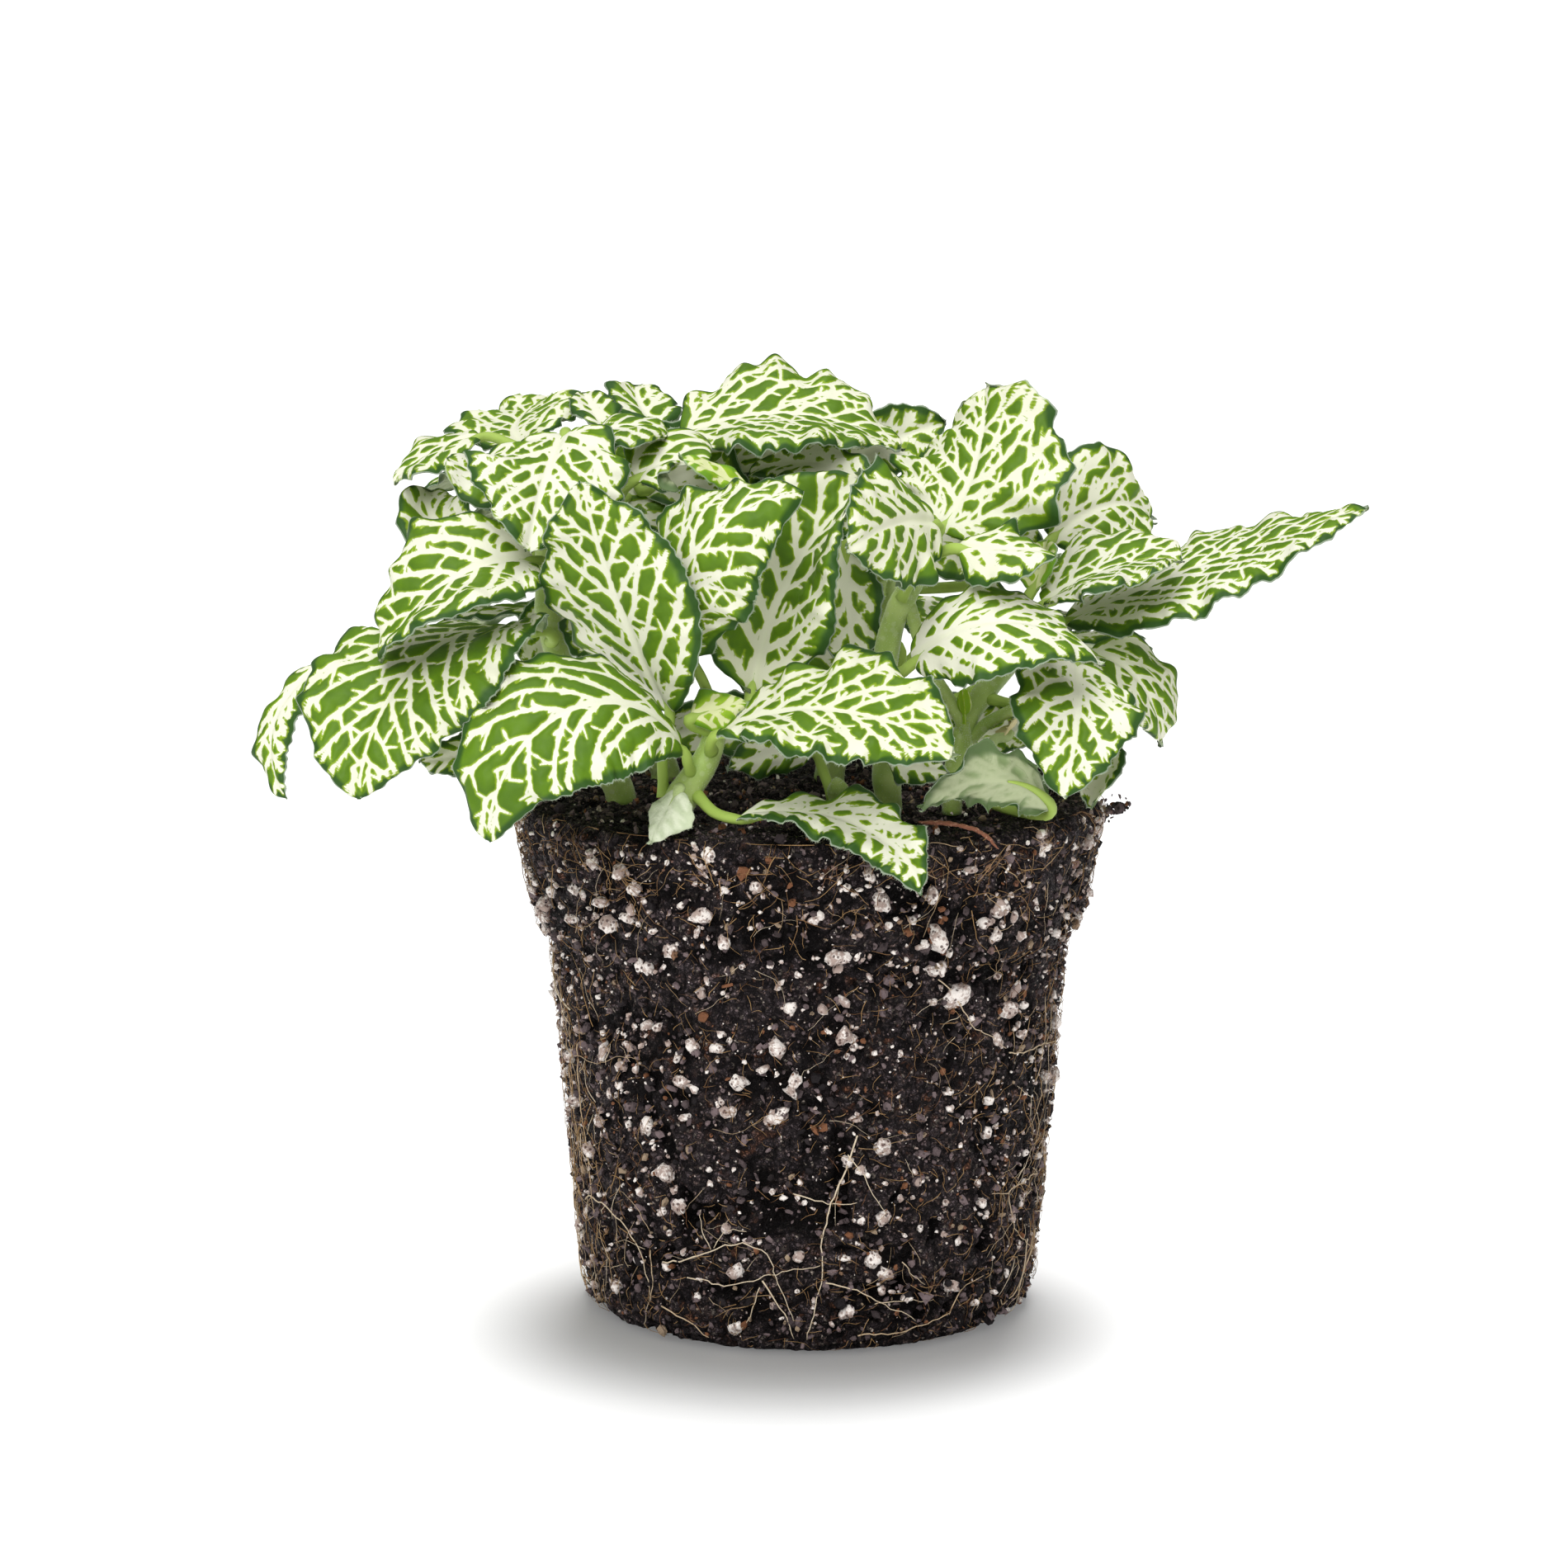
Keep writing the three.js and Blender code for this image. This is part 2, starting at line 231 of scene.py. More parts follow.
def blade_ring(points, joins, ring, last):
    """A blade's ring as its two margins and the three points of its upper side between them.

    The margins are the two points furthest apart. The upper side's points stand wider
    apart than those of the keel below. last is the ring before, which says left from right.
    """
    p = points[ring]
    gaps = np.linalg.norm(p[:, None] - p[None], axis=2)
    left, right = np.unravel_index(gaps.argmax(), gaps.shape)
    touch = joins[np.ix_(ring, ring)]
    chains = []
    for start in np.flatnonzero(touch[left]):
        chain, before = [start], left
        while len(chain) < 3:
            step = [n for n in np.flatnonzero(touch[chain[-1]]) if n != before][0]
            before = chain[-1]
            chain.append(step)
        chains.append(chain)
    chains.sort(key=lambda c: -gaps[c[0], c[2]])
    row = p[[left, *chains[0], right]]
    if last is not None and (row[4] - row[0]) @ (last[4] - last[0]) < 0:
        row = row[::-1]
    return row, p[chains[1][1]]


def leaf_form(node):
    """A leaf's stalk line, midrib line and upper-side rows, from its solid in the frame."""
    points, joins, layers = rings_of(node)
    if flatness(points, layers[1]) > flatness(points, layers[-2]):
        layers = layers[::-1]
    stalk = np.array([points[r].mean(0) for r in layers[1:4]])
    rows, keels = [], []
    for ring in layers[4:-1]:
        row, keel = blade_ring(points, joins, ring, rows[-1] if rows else None)
        rows.append(row)
        keels.append(keel)
    tip = points[layers[-1][0]]
    rows, keels = np.array(rows), np.array(keels)
    ahead = rows[1, 2] - rows[0, 2]
    if np.cross(rows[0, 4] - rows[0, 0], ahead) @ (rows[0, 2] - keels[0]) < 0:
        rows = rows[:, ::-1]
    return stalk, rows, tip


def own_form(start, base, heading, rise, roll, length, width, bend):
    """A leaf's stalk, rows and tip without a solid: a stalk from start to base, which rises a
    little on the way, and a midrib that goes on from base and bends down.

    At part s the midrib heads rise - bend * s degrees above level. The rows lie square to
    it, turned by roll about it, and dish up a little towards the margins.
    """
    s = np.linspace(0, 1, 9)
    climb, turn = np.radians(rise - bend * s), np.radians(heading)
    ahead = np.stack([np.cos(climb) * np.cos(turn), np.cos(climb) * np.sin(turn), np.sin(climb)], -1)
    level = np.broadcast_to((np.sin(turn), -np.cos(turn), 0.0), ahead.shape)
    up = np.cross(level, ahead)
    lean = np.radians(roll)
    across, up = np.cos(lean) * level + np.sin(lean) * up, np.cos(lean) * up - np.sin(lean) * level
    line = np.array(base) + length / 8 * (np.cumsum(ahead, axis=0) - ahead)
    half = width / 2 * outline(s)[1:-1, None, None]
    rows = (line[1:-1, None] + half * ACROSS[None, :, None] * across[1:-1, None]
            + half * 0.25 * ACROSS[None, :, None] ** 2 * up[1:-1, None])
    stalk = np.array([start, (line[0] + start) / 2 + (0, 0, 0.8), line[0]])
    return stalk, rows, line[-1]


# ---- leaves ------------------------------------------------------------------------------

MARGINS = []  # each leaf's margin: its points and the ways that point out of it

# Millimetres between a blade's points, on leaves that have looks of their own and on others.
GRAIN, PLAIN_GRAIN = 0.35, 0.55


def blade_grid(stalk, rows, tip, rng, ruffle, lobes, grain):
    """The blade's upper side as a grid of points, with its flat coordinates.

    At part s of the length and v across, a point is the midrib's curve plus the outline
    times a curve through the margins, the middle lines and the midrib.
    """
    centre = np.concatenate([stalk[-1:], rows[:, 2], tip[None]])
    far = run_length(centre)
    length = far[-1]
    knots = far / length
    inner = knots[1:-1]
    reach = (rows - rows[:, 2:3]) / outline(inner)[:, None, None]
    reach = np.concatenate([reach[:1], reach, reach[-1:]])
    width = np.linalg.norm(reach[:, 4] - reach[:, 0], axis=1).max()
    n = int(max(length / grain, 24))
    m = int(max(width / grain, 20)) | 1
    s = 0.003 + 0.994 * np.linspace(0, 1, n)
    v = np.linspace(-1, 1, m)
    middle = through(knots, centre, s)
    frames = through(knots, reach.reshape(len(knots), 15), s).reshape(n, 5, 3)
    basis = np.linalg.solve(np.vander(ACROSS, 5).T, np.vander(v, 5).T)
    points = middle[:, None] + outline(s)[:, None, None] * np.einsum("skc,kv->svc", frames, basis)
    half = width / 2 * outline(s)[:, None]
    flat_x = np.broadcast_to(s[:, None] * length, (n, m))
    flat_y = v[None] * half
    normal = unit(np.cross(np.gradient(points, axis=1), np.gradient(points, axis=0)))
    wave = np.zeros((n, m))
    for turn, share in ((15.0, 0.75), (8.0, 0.65), (4.5, 0.22)):
        for way in (-1, 1):
            phase = rng.uniform(0, 2 * np.pi) + rng.uniform(-0.5, 0.5) * np.sin(4 * s[:, None])
            swing = np.sin(2 * np.pi * flat_x / turn + phase) * share
            wave += swing * np.clip(way * v[None], 0, 1) ** 2.2
    wave *= ruffle * np.clip(half / 8, 0, 1)
    points = points + normal * wave[..., None]
    notch = 0.16 * np.sin(2 * np.pi * flat_x / 2.3 + 3 * np.sin(flat_x / 5)) * np.abs(v)[None] ** 10
    for way in (-1, 1):
        edge = np.clip(way * v[None], 0, 1)
        for turn, share in ((9.0, 0.8), (4.6, 0.42)):
            phase = flat_x / turn + 0.17 * np.sin(flat_x / 3.7 + rng.uniform(0, 6)) + rng.uniform(0, 1)
            tips = 1 - 1.6 * np.abs((phase % 1.0) - 0.5) ** 0.8
            notch += lobes * share * (tips - 0.55) * edge**5 * np.clip(half / 5, 0, 1)
    sideways = unit(np.gradient(points, axis=1)) * np.sign(v)[None, :, None]
    points = points + sideways * notch[..., None]
    return points, flat_x, flat_y, half, length, width


# How the side veins leave the midrib: the tangent of their lean at the base, how much more
# they lean towards the tip, and how much they curl forward near the margin.
SPREAD, SWEEP, CURL = 0.58, 0.90, 0.10
STEP = 0.6  # millimetres: the length of the straight bits that veins are laid in
WEB = 0.6   # millimetres: how far the webs between meeting veins reach


class Veins:
    """The veins of one half of a blade, on flat coordinates: x from its base, y out from
    the midrib. Each is laid in straight bits that turn towards the blade's own flow."""

    def __init__(self, rng, length, width, side):
        self.rng, self.length, self.width, self.side = rng, length, width, side
        self.rows, self.laid = [], np.zeros((0, 2))

    def half(self, x):
        return self.width / 2 * float(outline(np.array(x / self.length))) + 1e-3

    def flow(self, x, y):
        """The side veins' heading at a place, in radians from the midrib."""
        forward = SPREAD * self.length / self.width + SWEEP * x / self.length + 4 * CURL * y / self.width
        return np.arctan2(1 - y * SWEEP / self.length, forward)

    def lay(self, line, thick):
        """Keeps a line's bits, each with its half-width."""
        for (x0, y0), (x1, y1), wide in zip(line[:-1], line[1:], thick):
            self.rows.append((x0, self.side * y0, x1, self.side * y1, wide))

    def grow(self, spot, heading, girth, reach, pull, end, clear=0.8):
        """One vein: it ends at its reach, at end millimetres from the margin, or within
        clear of a vein that is there already. Returns its points and headings."""
        line, headings = [np.array(spot)], [heading]
        while STEP * len(line) < reach:
            x, y = line[-1]
            half = self.half(x)
            if half - y < min(end, 0.4 * half) or y < 0.05 or not 0.1 < x < 0.98 * self.length:
                break
            if len(line) > 3 and len(self.laid) and np.hypot(*(self.laid - line[-1]).T).min() < clear:
                break
            heading += (self.flow(x, y) - heading) * pull + self.rng.normal(0, 0.05)
            line.append(line[-1] + STEP * np.array((np.cos(heading), np.sin(heading))))
            headings.append(heading)
        gone = np.arange(len(line)) * STEP
        thick = np.maximum(girth * np.maximum(1 - 0.55 * gone / reach, 0.45), 0.22)
        self.lay(line, thick)
        self.laid = np.concatenate([self.laid, np.array(line)[2:]])
        return line, headings, thick

    def spike(self, spot, heading, girth, reach, flare):
        """A short sharp twig in three bits that turns by flare at each and narrows."""
        line = [np.array(spot)]
        for _ in range(3):
            heading += flare
            line.append(line[-1] + reach / 3 * np.array((np.cos(heading), np.sin(heading))))
        self.lay(line, girth * np.array((1.0, 0.66, 0.3)))

    def branches(self, path, first, every, angle, share, reach, pull, clear):
        """Veins off a vein by turns to its two sides, at random steps and angles.

        share is their girth over its own, and pull how hard they turn towards the flow.
        """
        line, headings, thick = path
        made = []
        turn = self.rng.choice((-1, 1))
        due = self.rng.uniform(0.6, 1.4) * first
        for k in range(2, len(line)):
            if k * STEP > due:
                turn = -turn
                due = k * STEP + self.rng.uniform(*every)
                off = headings[k] + turn * np.radians(self.rng.uniform(*angle))
                far = self.rng.uniform(*reach)
                made.append(self.grow(line[k], off, share * thick[k], far, pull, 2.2, clear))
        return made

    def fill(self, gap, girth):
        """Grows a vein towards each place that is left further than gap from every vein,
        from the vein point that lies nearest behind it."""
        x, v = np.meshgrid(np.arange(2.0, 0.97 * self.length, 1.3), np.linspace(0.1, 0.95, 12))
        y = v * self.width / 2 * outline(x / self.length)
        spots = np.stack([x, y], -1)[self.width / 2 * outline(x / self.length) - y > 2.0]
        away = np.hypot(*(spots[:, None] - self.laid[None]).transpose(2, 0, 1)).min(1)
        made = []
        for _ in range(60):
            if not len(away) or away.max() < gap:
                break
            goal = spots[away.argmax()]
            way = self.flow(*goal)
            off = goal - self.laid
            apart = np.hypot(*off.T)
            behind = np.clip(0.6 * apart - off @ (np.cos(way), np.sin(way)), 0, None)
            source = self.laid[(apart + 3 * behind).argmin()]
            reach = np.hypot(*(goal - source)) + 5.0
            heading = np.arctan2(*(goal - source)[::-1])
            made.append(self.grow(source, heading, girth, reach, 0.10, 2.1, 0.9))
            away[away.argmax()] = 0
            fresh = np.array(made[-1][0])
            away = np.minimum(away, np.hypot(*(spots[:, None] - fresh[None]).transpose(2, 0, 1)).min(1))
        return made

    def frill(self, path):
        """Small thorns along a vein, and antlers of sharp twigs where it nears the margin."""
        line, headings, thick = path
        thorn, due, turn = self.rng.uniform(1.2, 3.0), 0.0, 1
        for k in range(1, len(line)):
            gone = k * STEP
            room = self.half(line[k][0]) - line[k][1]
            if room < 5.5 and gone > due:
                turn, due = -turn, gone + self.rng.uniform(0.85, 1.6)
                off = headings[k] + turn * np.radians(self.rng.uniform(26, 44))
                far = min(self.rng.uniform(1.8, 3.6), 0.62 * room)
                self.spike(line[k], off, 0.26, far, -0.08 * turn)
            elif gone > thorn:
                thorn = gone + self.rng.uniform(1.4, 3.4)
                off = headings[k] + self.rng.choice((-1, 1)) * np.radians(self.rng.uniform(26, 50))
                self.spike(line[k], off, 0.24, thick[k] + self.rng.uniform(0.5, 1.3), 0.0)
        room = self.half(line[-1][0]) - line[-1][1]
        if room < 3.5:
            self.spike(line[-1], headings[-1], 0.26, 0.52 * room, 0.0)


def venation(length, width, rng, bold, coarse):
    """A leaf's veins: a tapering midrib, side veins in pairs, and their forks and links."""
    x = np.linspace(-1.5, 0.955 * length, 30)
    y = 0.3 * np.sin(x / 8 + rng.uniform(0, 6))
    girth = bold * np.interp(x / length, [0, 0.25, 0.6, 1], [1.30, 0.80, 0.46, 0.20])
    rows = [(x[k], y[k], x[k + 1], y[k + 1], girth[k]) for k in range(29)]
    pairs = max(4, round(length / (6.0 * coarse**0.5)))
    for side in (-1, 1):
        veins = Veins(rng, length, width, side)
        paths = []
        share = (np.arange(pairs) + rng.uniform(0.2, 0.6, pairs)) / pairs
        for x0 in length * (0.01 + 0.92 * share**1.05):
            heading = veins.flow(x0, 0) + 0.12
            reach = max(3.0, 2.2 * veins.half(x0 + 0.25 * length) / np.sin(heading))
            girth = bold * (0.55 - 0.25 * x0 / length) * rng.uniform(0.85, 1.15)
            paths.append(veins.grow((x0, 0.1), heading, girth, reach, 0.14, 2.2))
        for path in paths[:]:
            every = (5.0 * coarse, 8.5 * coarse)
            paths += veins.branches(path, 4.0, every, (24, 38), 0.78, (7, 18), 0.05, 1.2)
        paths += veins.fill(2.35 * coarse, 0.34 * bold)
        for path in paths[:]:
            every = (2.8 * coarse, 5.6 * coarse)
            veins.branches(path, 2.5, every, (50, 80), 0.54, (2.4, 5.2), 0.0, 0.7)
            veins.frill(path)
        rows += veins.rows
    return rows


def vein_distance(x, y, length, width, rng, bold, coarse):
    """Each point's distance in millimetres to the edge of the nearest vein, negative inside.

    Veins that meet are webbed: the distance is the smooth least of the lines' distances.
    """
    least = np.full(x.shape, 6.0)
    down = x[:, 0]
    for x0, y0, x1, y1, wide in venation(length, width, rng, bold, coarse):
        lo, hi = np.searchsorted(down, (min(x0, x1) - 3, max(x0, x1) + 3))
        px, py = x[lo:hi] - x0, y[lo:hi] - y0
        dx, dy = x1 - x0, y1 - y0
        t = np.clip((px * dx + py * dy) / (dx * dx + dy * dy), 0, 1)
        away = np.hypot(px - t * dx, py - t * dy) - wide
        near = np.clip(0.5 + (least[lo:hi] - away) / WEB, 0, 1)
        least[lo:hi] = least[lo:hi] * (1 - near) + away * near - WEB / 2 * near * (1 - near)
    return least + 0.10 * noise(np.stack([x, y, 0 * x], -1), 0.9, 5)


def leaf(node, seed, material, slot, bold, ruffle, lobes, coarse, tone=0.5, grain=GRAIN, form=None):
    """A leaf around its solid, or its own form: a veined, quilted blade with a thin edge,
    and its stalk.

    The upper side sinks along the veins and swells between them. The underside is the
    upper side set back by the blade's thickness, which is greater along the veins.
    """
    rng = np.random.default_rng(seed)
    stalk, rows, tip = form or leaf_form(node)
    top, x, y, half, length, width = blade_grid(stalk, rows, tip, rng, ruffle, lobes, grain)
    n, m = x.shape
    rim = half - np.abs(y)
    away = vein_distance(x, y, length, width, rng, bold, coarse)
    normal = unit(np.cross(np.gradient(top, axis=1), np.gradient(top, axis=0)))
    swell = 0.60 * (1 - np.exp(-np.clip(away, 0, None) / 1.0)) * np.clip(rim / 2, 0, 1)
    swell -= 0.45 * np.exp(-((y / 0.9) ** 2)) + 0.15
    top = top + normal * (swell + 0.25 * noise(top, 5.0, seed))[..., None]
    thick = 0.16 + 0.24 * np.clip(rim / 1.5, 0, 1) + 0.12 * np.exp(-np.clip(away, 0, None) / 0.5)
    under = top - normal * thick[..., None]
    points = np.concatenate([top.reshape(-1, 3), under.reshape(-1, 3)])
    upper = grid_faces(n, m)
    lower = upper[:, ::-1] + n * m
    edge = np.concatenate([np.arange(m), np.arange(1, n) * m + m - 1,
                           (n - 1) * m + np.arange(m - 2, -1, -1), np.arange(n - 2, 0, -1) * m])
    outward = unit(np.gradient(top, axis=1)) * np.sign(np.linspace(-1, 1, m))[None, :, None]
    MARGINS.append((top.reshape(-1, 3)[edge] - 0.5 * (thick[..., None] * normal).reshape(-1, 3)[edge],
                    unit(outward.reshape(-1, 3)[edge] + 0.3 * normal.reshape(-1, 3)[edge])))
    after = np.roll(edge, -1)
    wall = np.stack([after, edge, edge + n * m, after + n * m], -1)
    blade = points, np.concatenate([upper, lower, wall])[:, ::-1]
    stem_part = stalk_tube(stalk, top[:, m // 2], normal[:, m // 2])
    points, faces, counts = joined([blade, stem_part])
    count = counts[1]
    attributes = {
        "vein": np.concatenate([away.ravel(), away.ravel(), np.full(count, 3.0)]),
        "rim": np.concatenate([rim.ravel(), rim.ravel(), np.full(count, 5.0)]),
        "face": np.concatenate([np.ones(n * m), np.zeros(n * m), np.full(count, -1.0)]),
        "tone": np.full(len(points), tone),
    }
    made = piece("fine_" + node, points, faces, material, attributes)
    if form is None:
        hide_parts(node)


def stalk_tube(stalk, midrib, normal):
    """The stalk from inside the stem to the blade, then on under the midrib, thinning away."""
    start = stalk[0] - 1.6 * unit(stalk[1] - stalk[0])
    reach = max(4, int(0.45 * len(midrib)))
    below = midrib[3:reach:3] - 0.75 * normal[3:reach:3]
    line = np.concatenate([start[None], stalk, below[1:]])
    far = run_length(line)
    path = through(far, line, np.linspace(0, far[-1], max(14, int(far[-1] / 1.4))))
    along = run_length(path)
    bare = far[3]
    radius = np.interp(along, [0, 2.5, bare, bare + 6, along[-1]], [1.5, 1.15, 1.15, 0.8, 0.2])
    side = unit(normal[0])
    return tube(path, radius, 12, 0.85, side)


# ---- materials ---------------------------------------------------------------------------


class Nodes:
    """A small builder for a material's or a group's node tree."""

    def __init__(self, tree):
        self.tree = tree

    def add(self, kind, inputs=None, **settings):
        """One node: settings are its own fields, inputs are values or sockets to link in."""
        made = self.tree.nodes.new(kind)
        for key, value in settings.items():
            setattr(made, key, value)
        for key, value in (inputs or {}).items():
            socket = made.inputs[key]
            if isinstance(value, bpy.types.NodeSocket):
                self.tree.links.new(value, socket)
            else:
                socket.default_value = value
        return made

    def math(self, operation, a, b):
        return self.add("ShaderNodeMath", {0: a, 1: b}, operation=operation).outputs[0]

    def vector(self, operation, inputs):
        return self.add("ShaderNodeVectorMath", inputs, operation=operation).outputs[0]

    def plus(self, a, b):
        return self.math("ADD", a, b)

    def times(self, a, b):
        return self.math("MULTIPLY", a, b)

    def ease(self, value, low, high, first=0.0, last=1.0):
        """value eased from low..high to first..last."""
        return self.add("ShaderNodeMapRange", {"Value": value, 1: low, 2: high, 3: first, 4: last},
                        interpolation_type="SMOOTHSTEP").outputs[0]

    def mix(self, factor, a, b):
        """Colour a turning to colour b as factor goes from 0 to 1."""
        made = self.tree.nodes.new("ShaderNodeMix")
        made.data_type = "RGBA"
        for socket, value in ((made.inputs[0], factor), (made.inputs[6], a), (made.inputs[7], b)):
            if isinstance(value, bpy.types.NodeSocket):
                self.tree.links.new(value, socket)
            else:
                socket.default_value = (*value, 1.0) if isinstance(value, tuple) else value
        return made.outputs[2]

    def noise(self, place, scale, detail=2.0, rough=0.5):
        return self.add("ShaderNodeTexNoise", {"Vector": place, "Scale": scale, "Detail": detail,
                                               "Roughness": rough}).outputs["Fac"]

    def place(self):
        return self.add("ShaderNodeTexCoord").outputs["Object"]

    def value(self, name):
        return self.add("ShaderNodeAttribute", attribute_name=name).outputs["Fac"]

    def bump(self, height, strength, distance):
        return self.add("ShaderNodeBump", {"Height": height, "Strength": strength,
                                           "Distance": distance}).outputs[0]


def material(name):
    """An empty node material with its builder and its one surface shader."""
    made = bpy.data.materials.new(name)
    made.use_nodes = True
    made.node_tree.nodes.clear()
    nodes = Nodes(made.node_tree)
    shader = nodes.add("ShaderNodeBsdfPrincipled")
    out = nodes.add("ShaderNodeOutputMaterial")
    made.node_tree.links.new(shader.outputs[0], out.inputs[0])
    return made, nodes, shader


def set_shader(nodes, shader, **inputs):
    """Puts values on the shader's sockets, or links sockets to them; names use underscores."""
    for key, value in inputs.items():
        socket = shader.inputs[key.replace("_", " ")]
        if isinstance(value, bpy.types.NodeSocket):
            nodes.tree.links.new(value, socket)
        else:
            socket.default_value = (*value, 1.0) if isinstance(value, tuple) else value


def shared_group(name, results):
    """An empty node group that takes a place and a size in metres and gives some results.

    Returns the group, its builder, its place and one over its size.
    """
    tree = bpy.data.node_groups.new(name, "ShaderNodeTree")
    tree.interface.new_socket("Place", in_out="INPUT", socket_type="NodeSocketVector")
    tree.interface.new_socket("Size", in_out="INPUT", socket_type="NodeSocketFloat")
    for label in results:
        tree.interface.new_socket(label, in_out="OUTPUT", socket_type="NodeSocketFloat")
    nodes = Nodes(tree)
    given = nodes.add("NodeGroupInput")
    return tree, nodes, given.outputs["Place"], nodes.math("DIVIDE", 1.0, given.outputs["Size"])


def placed(nodes, tree, size):
    """A shared group put in a material, its features about size metres across."""
    made = nodes.add("ShaderNodeGroup", node_tree=tree)
    nodes.tree.links.new(nodes.place(), made.inputs["Place"])
    made.inputs["Size"].default_value = size
    return made.outputs


def speckle_group():
    """Speckle: fine and coarse noise on a place, and a mask of small dark pits."""
    tree, nodes, place, per_metre = shared_group("speckle", ("Fine", "Coarse", "Pits"))
    fine = nodes.noise(place, per_metre, 3.0, 0.6)
    coarse = nodes.noise(place, nodes.times(per_metre, 0.22), 2.0)
    cells = nodes.add("ShaderNodeTexVoronoi", {"Vector": place, "Scale": nodes.times(per_metre, 0.6)})
    pits = nodes.ease(cells.outputs["Distance"], 0.22, 0.36, 1.0, 0.0)
    nodes.add("NodeGroupOutput", {"Fine": fine, "Coarse": coarse, "Pits": pits})
    return tree


def crumble_group():
    """Crumble: irregular crumbs of one size, each with a random shade value of its own, and a mask of
    the gaps between them, where the peat has painted shade.
    """
    tree, nodes, place, per_metre = shared_group("crumble", ("Shade", "Crack"))
    stir = nodes.add("ShaderNodeTexNoise", {"Vector": place, "Scale": per_metre, "Detail": 2.0})
    stir = nodes.vector("SUBTRACT", {0: stir.outputs["Color"], 1: (0.5, 0.5, 0.5)})
    stir = nodes.vector("SCALE", {0: stir, "Scale": nodes.math("DIVIDE", 1.5, per_metre)})
    cell = {"Vector": nodes.vector("ADD", {0: place, 1: stir}), "Scale": per_metre}
    cells = nodes.add("ShaderNodeTexVoronoi", cell)
    edges = nodes.add("ShaderNodeTexVoronoi", cell, feature="DISTANCE_TO_EDGE")
    shade = nodes.add("ShaderNodeSeparateColor", {0: cells.outputs["Color"]}).outputs[0]
    crack = nodes.ease(edges.outputs["Distance"], 0.02, 0.22, 1.0, 0.0)
    nodes.add("NodeGroupOutput", {"Shade": shade, "Crack": crack})
    return tree


SPECKLE = speckle_group()
CRUMBLE = crumble_group()


def leaf_material(name, green, deep, pale, under):
    """A leaf's skin: broad pale veins with a lime edge on green, a deep green band along the
    margin with a pale hairline, a dull pale underside with paler ribs and a green stalk."""
    made, nodes, shader = material(name)
    grain = placed(nodes, SPECKLE, 0.0009)
    away = nodes.plus(nodes.value("vein"),
                      nodes.times(nodes.math("SUBTRACT", grain["Fine"], 0.5), 0.24))
    white = nodes.ease(away, -0.07, 0.07, 1.0, 0.0)
    fringe = nodes.ease(away, 0.0, 0.36, 1.0, 0.0)
    rim = nodes.value("rim")
    band = nodes.ease(rim, 1.0, 2.2, 1.0, 0.0)
    tone = nodes.value("tone")
    blade = nodes.mix(nodes.ease(grain["Coarse"], 0.25, 0.75), green, nodes.mix(0.35, green, deep))
    blade = nodes.mix(nodes.times(band, 0.9), blade, deep)
    blade = nodes.mix(nodes.times(fringe, 0.62), blade, (0.42, 0.58, 0.030))
    lines = nodes.mix(tone, pale, (0.70, 0.74, 0.36))
    lines = nodes.mix(nodes.ease(away, -0.9, -0.5, 0.22, 0.0), lines, (0.74, 0.80, 0.50))
    blade = nodes.mix(white, blade, lines)
    blade = nodes.mix(nodes.ease(rim, 0.08, 0.3, 0.55, 0.0), blade, (0.55, 0.62, 0.50))
    ribs = nodes.ease(away, -0.4, 0.7, 1.0, 0.0)
    dull = nodes.mix(nodes.times(ribs, 0.7), under, (0.56, 0.60, 0.38))
    dull = nodes.mix(nodes.times(band, 0.6), dull, deep)
    side = nodes.value("face")
    skin = nodes.mix(nodes.ease(side, 0.4, 0.6), dull, blade)
    skin = nodes.mix(nodes.ease(side, -0.6, -0.4, 1.0, 0.0), skin, (0.36, 0.50, 0.10))
    height = nodes.plus(nodes.times(grain["Fine"], 0.6), white)
    rough = nodes.ease(grain["Fine"], 0.2, 0.8, 0.45, 0.62)
    set_shader(nodes, shader, Base_Color=skin, Roughness=rough,
               Normal=nodes.bump(height, 0.3, 0.0003), Specular_IOR_Level=0.2)
    return made


def stem_material():
    """Pale yellow-green with darker streaks and a soft bloom of hair."""
    made, nodes, shader = material("stem_skin")
    grain = placed(nodes, SPECKLE, 0.0012)
    skin = nodes.mix(nodes.ease(grain["Coarse"], 0.3, 0.7), (0.44, 0.57, 0.16), (0.29, 0.42, 0.08))
    skin = nodes.mix(nodes.times(grain["Pits"], 0.3), skin, (0.55, 0.62, 0.35))
    set_shader(nodes, shader, Base_Color=skin, Roughness=0.5, Sheen_Weight=0.3, Sheen_Roughness=0.5,
               Normal=nodes.bump(grain["Fine"], 0.4, 0.0004))
    return made


